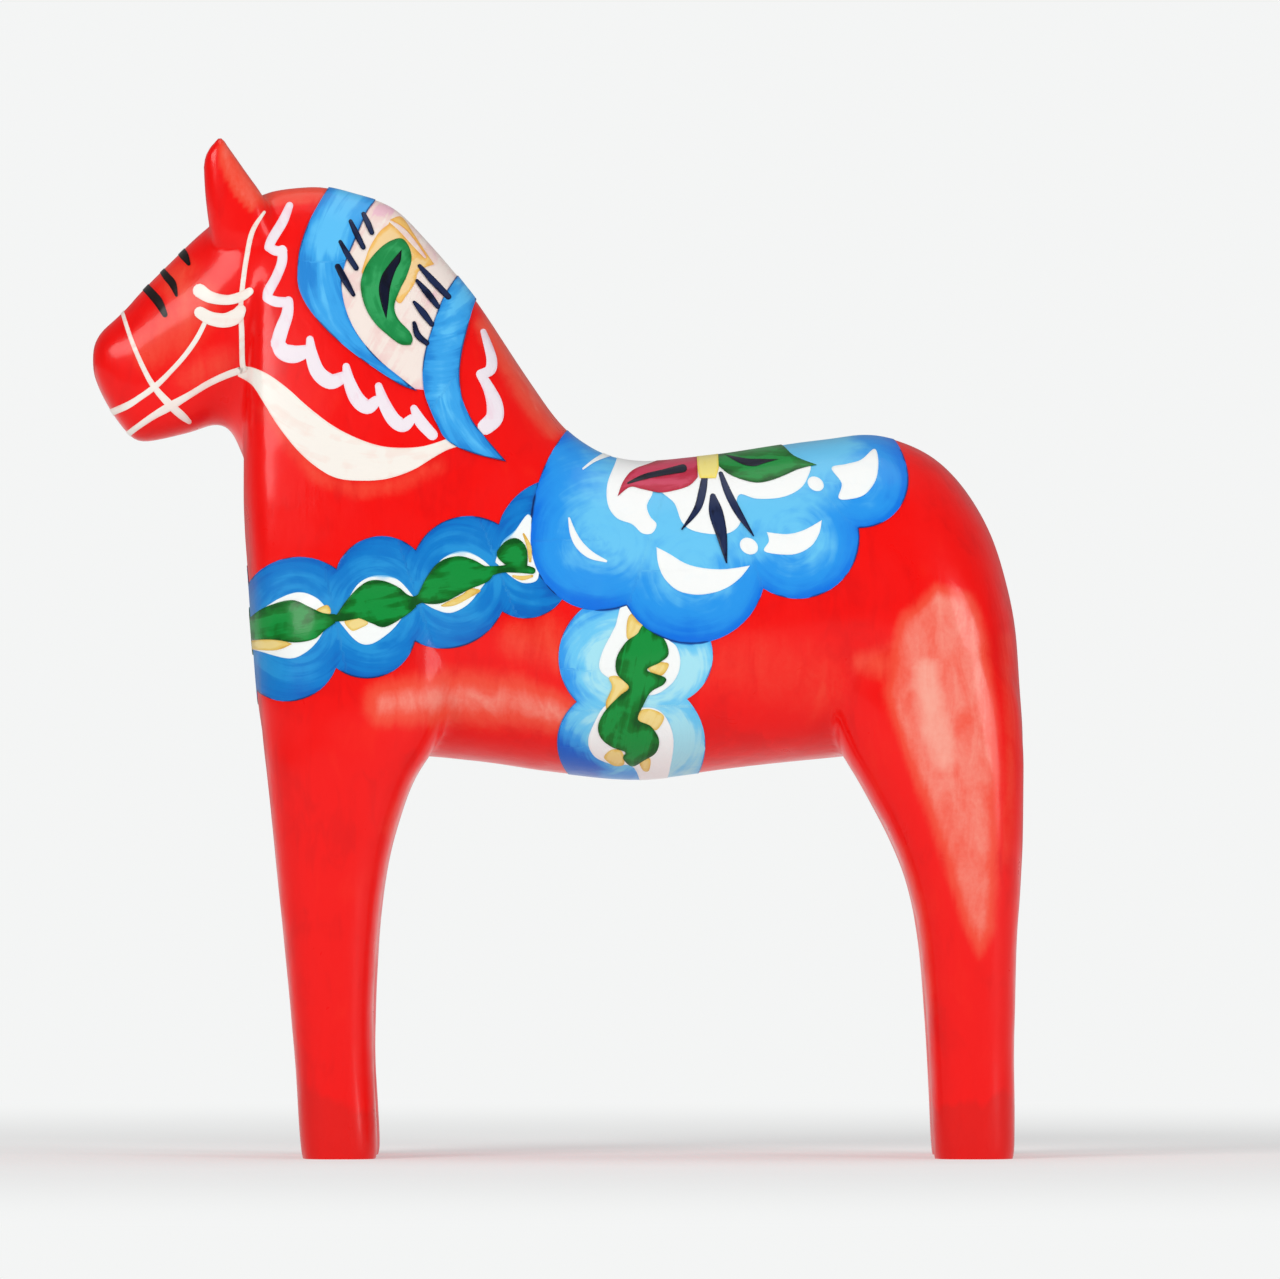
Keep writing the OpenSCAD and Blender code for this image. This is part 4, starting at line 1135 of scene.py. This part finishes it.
neck = {
    "frontScroll": [
        [(-53.9, 191.4, 1.5), (-55.2, 188.2, 2.0), (-57.3, 184.6, 2.0), (-58.0, 182.9, 1.8)],
        [(-57.9, 182.9, 1.8), (-56.6, 182.2, 2.0), (-55.2, 182.2, 1.9)],
        [
            (-55.3, 182.4, 1.9), (-55.3, 180.0, 2.0), (-56.4, 177.0, 2.0), (-57.9, 174.2, 2.1),
            (-58.3, 172.7, 1.8),
        ],
        [(-58.2, 172.6, 1.8), (-56.4, 171.9, 2.1), (-54.0, 171.8, 2.0)],
        [(-54.0, 172.0, 2.0), (-54.2, 169.4, 2.4), (-55.4, 166.0, 2.8), (-56.1, 163.4, 2.8)],
        [(-56.2, 163.8, 2.6), (-55.0, 161.9, 3.4), (-52.8, 161.3, 3.6), (-50.4, 161.9, 2.6)],
        [
            (-49.6, 164.3, 1.5), (-49.2, 161.0, 2.5), (-47.9, 157.6, 3.0), (-45.4, 155.8, 3.1),
            (-42.9, 156.7, 2.3),
        ],
        [
            (-42.3, 158.8, 1.5), (-41.7, 155.8, 2.4), (-40.1, 152.3, 3.0), (-38.0, 150.7, 2.9),
            (-36.3, 151.9, 2.1),
        ],
        [
            (-35.8, 154.9, 1.5), (-34.7, 151.5, 2.4), (-32.8, 148.2, 2.8), (-30.8, 147.0, 2.7),
            (-29.2, 148.3, 1.9),
        ],
        [(-28.7, 150.4, 1.5), (-27.4, 147.8, 2.4), (-25.0, 145.1, 2.2)],
    ],
    "rearScroll": [
        [
            (-14.9, 166.0, 1.2), (-14.0, 163.4, 1.7), (-13.2, 160.4, 2.1), (-13.5, 158.2, 2.2),
            (-15.4, 157.4, 1.8),
        ],
        [
            (-15.4, 157.3, 1.8), (-13.8, 154.6, 2.3), (-12.6, 151.4, 3.2), (-12.6, 148.6, 3.5),
            (-14.4, 146.7, 3.2),
        ],
    ],
    "ribbon": curves(
        [
            (-64.2, 158.8), (-61.6, 158.8), (-58, 157.3), (-54, 154.4), (-50, 150.8), (-45, 147.0),
            (-40, 144.4), (-35, 142.8), (-30, 142.5), (-26, 143), (-21.6, 144.5),
        ],
        [
            (-19.8, 142.8), (-22.2, 142.0), (-25, 140.4), (-29, 138), (-34, 136.3), (-39, 135.9),
            (-44, 136.4), (-48, 138.5), (-52, 142), (-56, 147), (-59, 151.8), (-61.3, 155.2), (-64.2, 157),
        ],
    ),
}

bridle = {
    "browband": [
        (-58.9, 190.0, 0.6), (-61.3, 186.0, 1.0), (-62.5, 180.5, 1.0), (-63.3, 174.5, 1.0),
        (-63.6, 170.5, 1.0), (-63.4, 166.0, 1.1), (-63.3, 160.5, 1.1), (-63.1, 158.4, 1.2),
    ],
    "noseband": [
        (-88.6, 172.6, 0.8), (-87.3, 169.0, 0.8), (-85.4, 163.6, 0.9), (-83.0, 158.2, 1.0),
        (-81.0, 154.8, 1.2), (-78.0, 151.4, 1.6), (-75.6, 149.2, 1.6), (-74.1, 147.9, 1.0),
    ],
    "cheek": [
        (-70.6, 168.2, 0.9), (-72.5, 164.5, 1.0), (-75.0, 161.0, 1.0), (-78.0, 157.7, 1.0),
        (-80.8, 155.0, 1.2), (-84.0, 152.7, 1.2), (-87.0, 150.9, 1.4), (-91.5, 149.2, 1.4),
    ],
    "jaw": [
        (-62.8, 158.4, 1.4), (-66.0, 157.4, 1.4), (-70.0, 155.6, 1.3), (-74.0, 153.2, 1.3),
        (-77.8, 151.0, 1.7), (-81.0, 149.2, 1.4), (-84.0, 147.2, 1.2), (-87.4, 144.8, 1.2),
    ],
    "bow": [
        [
            (-71.9, 174.2, 2.8), (-69.8, 172.9, 2.4), (-66.5, 172.3, 2.0), (-63.7, 172.9, 2.0),
            (-61.8, 174.0, 1.6),
        ],
        [
            (-71.8, 169.8, 2.4), (-69.6, 168.6, 2.7), (-66.8, 168.2, 2.9), (-64.6, 169.0, 3.0),
            (-63.6, 170.3, 2.2),
        ],
    ],
}

brow = [
    [(-77.2, 184.0, 1.4), (-75.3, 181.6, 1.8), (-74.2, 179.7, 0.8)],
    [(-80.4, 179.4, 0.9), (-78.7, 177.2, 1.5), (-77.4, 175.6, 1.5), (-76.6, 173.3, 0.6)],
    [(-83.6, 175.7, 1.6), (-81.6, 173.6, 1.8), (-80.2, 171.9, 1.8), (-78.9, 169.4, 1.1)],
]

layFigure("neckScroll", "neck_scroll", "lilac_paint", strokes(neck["frontScroll"]), "onRed", ("along", -70))
layFigure(
    "withersScroll", "withers_scroll", "lilac_paint", strokes(neck["rearScroll"]), "onRed", ("along", -80),
)
layFigure(
    "throatRibbon", "throat_ribbon", "cream_paint", [neck["ribbon"]], "onRed", ("around", [(-36, 176, 36)]),
)
layFigure(
    "bridleLines", "bridle", "cream_paint",
    [brushStroke(*bridle[key]) for key in ("browband", "noseband", "cheek", "jaw")], "onRed", ("along", 40),
)
layFigure("bridleBow", "bridle_bow", "cream_paint", strokes(bridle["bow"]), "onFigures", ("along", 0))
layFigure("browBars", "brow_bars", "black_paint", strokes(brow), "onRed", ("along", -60))
print("neck and head painted")

# the saddle's outline is needed by the band and girth that pass under it

saddleEdge = outline(
    ("arc", [
        (4.5, 149), (-2.9, 138), (-5.2, 126), (-3.2, 116.6), (3, 111), (8.5, 109.9), (13.9, 110.9),
        (25.5, 103.3), (41.3, 114.3), (53, 113.2), (60.4, 126.4), (68.2, 130), (70.3, 138), (69.2, 141.8),
        (65.5, 147),
    ]),
    ("line", [(65.5, 165), (4.5, 165)]),
)

# the breast band

band = {
    "centres": [(-52.5, 107, 11), (-36.5, 110.5, 11), (-20, 116, 11), (-4, 122, 11)],
    "edge": outline(
        ("line", [(-75, 111.5)]),
        ("arc", [
            (-64, 111.5), (-56.0, 119.9), (-44.2, 118.3), (-35.8, 124.8), (-28.3, 122), (-18.8, 128.8),
            (-11.7, 127.2), (-7.8, 133.2), (0, 136.5),
        ]),
        ("line", [(6, 126)]),
        ("arc", [
            (2, 114), (-5, 108.4), (-11.0, 109.7), (-19.5, 102.6), (-28.4, 103.7), (-37.5, 96.3),
            (-44.2, 98.4), (-53.5, 91.7), (-63.5, 97.5),
        ]),
        ("line", [(-75, 97.5)]),
    ),
    "front": outline(
        ("arc", [(13, 112.5), (0, 119), (-13, 112.5)]),
        ("arc", [(-13, 96.5), (0, 91), (13, 96.5)]),
    ),
    "frontLeaf": curves(
        [(-9, 105.5), (-4, 109.4), (0, 110.6), (4, 109.4), (9, 105.5)],
        [(9, 105.5), (4, 102), (0, 101), (-4, 102), (-9, 105.5)],
    ),
    "eyes": [
        curves(
            [(-66, 106), (-60, 109.6), (-55.5, 112.4), (-51.5, 113.6), (-47.8, 112.2), (-45.2, 109)],
            [(-45.2, 109), (-47.6, 104.2), (-50.6, 101.3), (-54, 100.3), (-60, 101.8), (-66, 103)],
        ),
        curves(
            [(-44, 108.2), (-41.6, 112.6), (-39.4, 115.6), (-36, 117), (-32, 116.2), (-28.6, 112.6)],
            [(-28.6, 112.6), (-31.6, 107.6), (-34.4, 104.8), (-37.6, 103.1), (-40.4, 104), (-44, 108.2)],
        ),
        curves(
            [(-27.6, 112), (-25.4, 117), (-22.8, 120.4), (-19, 121.9), (-15.6, 120.6), (-12.6, 118)],
            [(-12.6, 118), (-15.4, 114), (-18, 111), (-21.4, 109.4), (-24.6, 110.2), (-27.6, 112)],
        ),
        curves(
            [(-12.4, 119.6), (-11, 123.6), (-8.4, 126), (-5.6, 129.2), (-4.2, 124), (-3.6, 119)],
            [(-3.6, 119), (-4, 116), (-6.8, 115.4), (-9.6, 117), (-12.4, 119.6)],
        ),
    ],
    "leaves": [
        curves(
            [
                (-66, 104.8), (-60.8, 109.2), (-57.4, 111), (-53, 112.0), (-49.5, 110.6), (-46.8, 109.4),
                (-44.4, 109.2),
            ],
            [(-44.4, 107.4), (-46.4, 106.0), (-48.6, 104.2), (-52.5, 103.5), (-57.5, 104.1), (-66, 103.8)],
        ),
        curves(
            [
                (-44.6, 108.3), (-41.6, 112.6), (-38.2, 115.6), (-35, 115.9), (-31.8, 114.6),
                (-29.8, 113.0), (-28.2, 112.7),
            ],
            [(-28.2, 110.6), (-30.4, 108.8), (-34.4, 106.6), (-37.2, 107.4), (-40, 108.4), (-44.6, 108.3)],
        ),
        curves(
            [
                (-28.4, 111.8), (-26.2, 116.4), (-23.6, 119.6), (-20, 120.8), (-16.8, 120.1),
                (-14.6, 118.9), (-12.8, 118.5),
            ],
            [(-12.8, 117.0), (-14, 115.6), (-17.8, 114.0), (-22.4, 111.6), (-25.5, 111.2), (-28.4, 111.8)],
        ),
        roundLoop(
            (-12.1, 121), (-10.5, 123.6), (-8.2, 124.4), (-6.3, 122.8), (-5.9, 119.8), (-6.6, 117.6),
            (-9.4, 118.4),
        ),
        brushStroke((-48.0, 107.6, 3.0), (-45.0, 108.3, 1.6), (-42.6, 108.6, 1.6), (-40.6, 109.6, 3.0)),
        brushStroke((-31.0, 111.0, 3.0), (-28.6, 111.8, 1.9), (-27.2, 112.4, 1.9), (-24.6, 113.8, 3.0)),
        brushStroke((-15.4, 117.4, 3.0), (-11.6, 118.1, 1.5), (-8.0, 118.4, 1.9), (-5.0, 117.9, 1.4)),
    ],
    "dabs": [
        curves(
            [(-66, 103.6), (-60, 104.0), (-56.5, 104.4), (-53, 103.2)],
            [(-53, 103.2), (-57, 101.9), (-66, 102.6)],
        ),
        roundLoop((-48.2, 110), (-46, 111), (-45.3, 109.4), (-47.2, 109.0)),
        roundLoop((-42.5, 107.9), (-39.6, 108.6), (-37.8, 107.4), (-39.3, 106.4), (-41.1, 105.9)),
        roundLoop(
            (-23.2, 110.9), (-19, 113.1), (-17.4, 114.3), (-15.3, 113.9), (-17.4, 112.5), (-20.6, 110.9),
        ),
        brushStroke((-6.7, 125.2, 0.4), (-5.6, 122.6, 0.9), (-5.4, 119.8, 0.5)),
        brushStroke((-8.8, 116.8, 0.4), (-7.0, 116.4, 0.9), (-5.0, 116.8, 0.5)),
    ],
}

layFigure(
    "breastBand", "breast_band", "blue_paint", [band["edge"]], "onRed", ("around", band["centres"]),
    front=band["front"], less=[saddleEdge], paint="band_blue",
)
layFigure(
    "breastEyes", "breast_eyes", "white_paint", band["eyes"], "onFigures", ("around", band["centres"]),
    less=[saddleEdge], paint="eye_white",
    tones=[(-35, 117.5, 4.5, -0.9), (-19, 122, 4.5, -0.9), (-26, 118, 3, -0.6), (-10, 124, 4, -0.7)],
)
layFigure("breastDabs", "breast_dabs", "yellow_paint", band["dabs"], "overFigures", ("along", 10))
layFigure(
    "breastLeaves", "breast_leaves", "green_paint", band["leaves"], "lastStrokes", ("along", 10),
    front=band["frontLeaf"],
    tones=[
        (-55, 108, 5, 0.4), (-36, 112.5, 4, 0.4), (-22, 117, 4, 0.3), (-44, 108.5, 3, -0.6),
        (-28, 111.5, 3, -0.6), (-10, 118.4, 3, -0.6), (-37, 108, 2.5, -0.5),
    ],
)
print("breast band painted")

# the girth

girth = {
    "centres": [(11.5, 98, 11.5), (19.5, 98.5, 11.2), (10, 82.5, 10), (19.5, 84.5, 10)],
    "edge": outline(
        ("line", [(14, 122)]),
        ("arc", [(8, 112), (0.3, 101), (3.9, 91.6), (0.0, 84.2), (3, 76)]),
        ("line", [(3, 66), (27.8, 66)]),
        ("arc", [(27.8, 76), (29.6, 84.5), (26, 92.2), (30.9, 98.5), (29, 107)]),
        ("line", [(28, 122)]),
    ),
    "eyes": [
        roundLoop(
            (13.4, 111.5), (11.6, 106.8), (9.2, 102), (8.4, 98.6), (10, 96.6), (14.6, 94.6), (18.5, 92.9),
            (21.5, 94), (23.8, 96.3), (24.7, 99.6), (23.9, 102.7), (21.6, 104.6), (18, 108.6),
        ),
        roundLoop(
            (15.5, 90.6), (19.6, 90.3), (22, 88.3), (23.3, 84.4), (23, 80), (21.6, 75), (18, 72),
            (15.4, 78.3), (11, 79.0), (7.4, 80.7), (6.2, 83.8), (7.6, 87.8), (10.2, 91.2),
        ),
    ],
    "vine": roundLoop(
        (17.6, 107.0), (21.3, 104.4), (22.3, 101.2), (20.6, 99.5), (18.0, 98), (21.6, 96.5), (21.3, 95.1),
        (18.8, 93.6), (17.3, 91), (16.2, 88.1), (18.8, 86.7), (20.4, 84), (19.8, 81.4), (17.4, 79.8),
        (15, 78.6), (13.2, 80.2), (13.6, 81.5), (11.0, 82.5), (8.8, 84.3), (8.2, 86.8), (9.6, 89.8),
        (12.5, 92.8), (14.4, 94.6), (12.0, 97.2), (11.9, 100.4), (13.8, 103.6), (16, 105.2),
    ),
    "dabs": [
        roundLoop((14.2, 108.4), (15.7, 109.2), (17.4, 106.6), (15.8, 104.4), (14.0, 104.4)),
        roundLoop((18.2, 98.2), (19.4, 99.4), (22.3, 99.3), (21.4, 97.2), (20, 96.9)),
        roundLoop(
            (10.4, 96.5), (12.3, 96.7), (14.5, 94.8), (12.2, 92.2), (10.2, 89.8), (9.8, 91.6), (11, 94.5),
        ),
        roundLoop((15.8, 88.0), (16.8, 89.9), (19, 90.1), (21.4, 88.7), (20, 86.0), (18, 86.6)),
        roundLoop((9.4, 80.6), (11, 82.0), (13, 81.6), (13.4, 79.1), (11.6, 78.7), (10.2, 79.5)),
        roundLoop((16.5, 79.8), (18.6, 80.2), (18.4, 77.8), (17.2, 77.8)),
    ],
}

layFigure(
    "girthBand", "girth_band", "sky_paint", [girth["edge"]], "onRed", ("around", girth["centres"]),
    less=[saddleEdge],
    tones=[
        (27, 98, 10, 0.6), (27, 84, 10, 0.6), (12, 107, 6, 0.25), (2, 97, 8, -0.3), (1, 81, 8, -1.3),
        (7, 77, 8, -1.4), (15, 75.5, 6, -1.1),
    ],
)
layFigure(
    "girthEyes", "girth_eyes", "white_paint", girth["eyes"], "onFigures", ("around", girth["centres"]),
    less=[saddleEdge], paint="eye_white",
)
layFigure(
    "girthDabs", "girth_dabs", "yellow_paint", girth["dabs"], "overFigures", ("along", 60),
    less=[saddleEdge],
)
layFigure(
    "girthVine", "girth_vine", "green_paint", [girth["vine"]], "lastStrokes", ("along", 80),
    less=[saddleEdge],
)
print("girth painted")

# the saddle

saddle = {
    "centres": [(8.5, 124, 14), (27.5, 118, 14.8), (47.5, 124.5, 12.5), (61, 135.5, 9.3)],
    "field": [
        roundLoop(
            (14, 144), (11.4, 139.0), (10, 135), (10.2, 131), (12, 128.4), (15, 127.2), (17, 125.4),
            (19, 125.4), (19.9, 127.2), (18.6, 128.8), (18, 131), (19.2, 134), (17.5, 137), (22, 143),
        ),
        roundLoop(
            (20.6, 134.8), (23.5, 131.4), (24.9, 127.8), (27, 126), (31, 125.2), (34.6, 125.5),
            (36.7, 127.6), (35.9, 130.6), (36.6, 133.2), (40, 132.3), (45, 132.6), (48.5, 134.2),
            (50.2, 136.6), (50.4, 139.4), (44, 139.6), (36, 139.4), (27, 138.6),
        ),
    ],
    "lights": [
        brushStroke(
            (2.4, 128.4, 0.4), (3.2, 125.4, 1.3), (4.6, 122.9, 1.7), (6.8, 121.0, 1.5), (9.8, 119.8, 0.5),
        ),
        brushStroke((5.2, 138.4, 0.4), (7.6, 140.2, 0.7), (10.4, 141.6, 1.3)),
        curves(
            [(19.9, 122.6), (22.4, 121.3), (26, 119.2), (30, 118.3), (34, 118.2), (38.6, 118.9)],
            [
                (38.6, 118.9), (36.6, 116.4), (34, 114.5), (31, 113.4), (27.5, 113.1), (24, 114),
                (21.4, 116.5), (20.2, 119.5), (19.9, 122.6),
            ],
        ),
        curves(
            [(42.0, 125.6), (46, 125.2), (49.4, 126.0), (53.0, 128.0)],
            [
                (53.0, 128.0), (52.4, 125.2), (50.6, 122.6), (47, 121.1), (41.6, 121.7), (42.4, 123.8),
                (42.0, 125.6),
            ],
        ),
        roundLoop(
            (55.0, 138.5), (58, 139.3), (61, 140.2), (63.7, 142.4), (64.4, 139.5), (63.8, 136),
            (61.8, 133.3), (59.2, 132.3), (56.4, 132.4), (57.0, 135.4),
        ),
        dot(51.8, 135.3, 3.5, 2.7, -35),
        dot(38.4, 122.8, 3.9, 3.1, -35),
    ],
    "petal": curves(
        [
            (12.1, 132.8), (13.2, 135.8), (15.2, 138.2), (18.6, 139.6), (22, 141.0), (25.5, 142.4),
            (28.0, 142.2),
        ],
        [
            (28.2, 136.7), (26.5, 135), (23.5, 134.0), (20.5, 133.6), (17, 134.3), (14.6, 134.7),
            (12.1, 132.8),
        ],
    ),
    "leaf": curves(
        [(31.8, 139.6), (33.0, 143.8), (37, 145.2), (41.4, 145.0), (45, 143.4), (47.6, 141), (52.0, 139.2)],
        [
            (52.0, 139.2), (48.4, 138.3), (45, 136.8), (42, 135.8), (39.5, 135.6), (36.5, 136.4),
            (34, 137.6), (31.8, 139.6),
        ],
    ),
    "cores": [
        brushStroke((14.2, 135.5, 0.4), (17.5, 136.8, 1.1), (21.5, 137.7, 1.3), (25.2, 138.5, 1.7)),
        curves(
            [(33.6, 141.4), (35.4, 140.2), (37.4, 139.2), (39.6, 138.9), (41.6, 139.5), (44.4, 140.3)],
            [(44.4, 140.3), (41, 140.4), (38, 140.5), (33.6, 141.4)],
        ),
    ],
    "heart": outline(
        ("line", [(27.8, 145), (28.2, 138), (28.6, 136.5), (31.8, 136.5), (32.4, 138.6), (32.2, 145)]),
    ),
    "stamens": [
        brushStroke((29.6, 136.9, 1.2), (29.1, 133.8, 1.6), (28.0, 130.2, 1.4), (25.0, 126.2, 0.3)),
        brushStroke((31.2, 132.8, 1.2), (31.8, 129.6, 2.8), (32.9, 125.2, 2.2), (33.9, 119.5, 0.3)),
        brushStroke((32.8, 137.4, 0.9), (34.3, 133.4, 1.5), (36.5, 129.2, 1.4), (39.3, 124.9, 0.3)),
    ],
}

layFigure(
    "saddleCloth", "saddle_cloth", "blue_paint", [saddleEdge], "onRed", ("around", saddle["centres"]),
    tones=[
        (27, 107, 9, -0.2), (7, 113, 8, -0.15), (-3, 126, 7, -0.1), (51, 142, 8, 0.35), (58, 144, 6, 0.2),
        (-1, 141, 5, 0.3), (54, 122, 5, 0.25), (16, 121, 5, 0.15), (40, 122, 4, 0.2),
    ],
)
layFigure("saddleField", "saddle_field", "white_paint", saddle["field"], "onFigures", ("along", 20))
layFigure(
    "saddleLights", "saddle_lights", "white_paint", saddle["lights"], "onFigures",
    ("around", saddle["centres"]),
)
layFigure("saddlePetal", "saddle_petal", "crimson_paint", [saddle["petal"]], "overFigures", ("along", 10))
layFigure("saddleLeaf", "saddle_leaf", "green_paint", [saddle["leaf"]], "overFigures", ("along", 0))
layFigure(
    "saddleHeart", "saddle_heart", "yellow_paint", [saddle["heart"]], "lastStrokes", ("along", 90),
    paint="heart_yellow",
)
layFigure("saddleStamens", "saddle_stamens", "navy_paint", saddle["stamens"], "overFigures", ("along", -80))
layFigure(
    "saddleCores", "saddle_cores", "navy_paint", saddle["cores"], "lastStrokes", ("along", 10),
    paint="ink_black",
)
print("saddle painted")

scrap(carved, *skins.values())

# the floor is pale and plain, and isn't part of the horse


def makeFloor(look):
    bpy.ops.mesh.primitive_circle_add(vertices=96, radius=look["floorRadius"], fill_type="NGON")
    floor = bpy.context.object
    floor.name = "floor"
    material, tree, shader = newMaterial(
        "paleFloor", Emission_Strength=1.0, Roughness=0.9, Specular_IOR_Level=0.0)
    place = tree.nodes.new("ShaderNodeTexCoord").outputs["Object"]
    tooth = noiseOf(tree, scaled(tree, place, (1000, 1000, 1000)), 0.05, 3.0, 0.6)
    colour = blendColour(tree, tooth, *look["floorTones"])
    # the floor runs out into the paper's own tone, so that no edge shows behind
    length = tree.nodes.new("ShaderNodeVectorMath")
    length.operation = "LENGTH"
    tree.links.new(place, length.inputs[0])
    away = ramp(tree, length.outputs["Value"], *look["floorFades"], look["floorGlow"], 1.0)
    black = (0.0, 0.0, 0.0)
    tree.links.new(blendColour(tree, away, colour, black), shader["Base Color"])
    tree.links.new(blendColour(tree, away, black, look["paper"]), shader["Emission Color"])
    floor.data.materials.append(material)


makeFloor(studio)
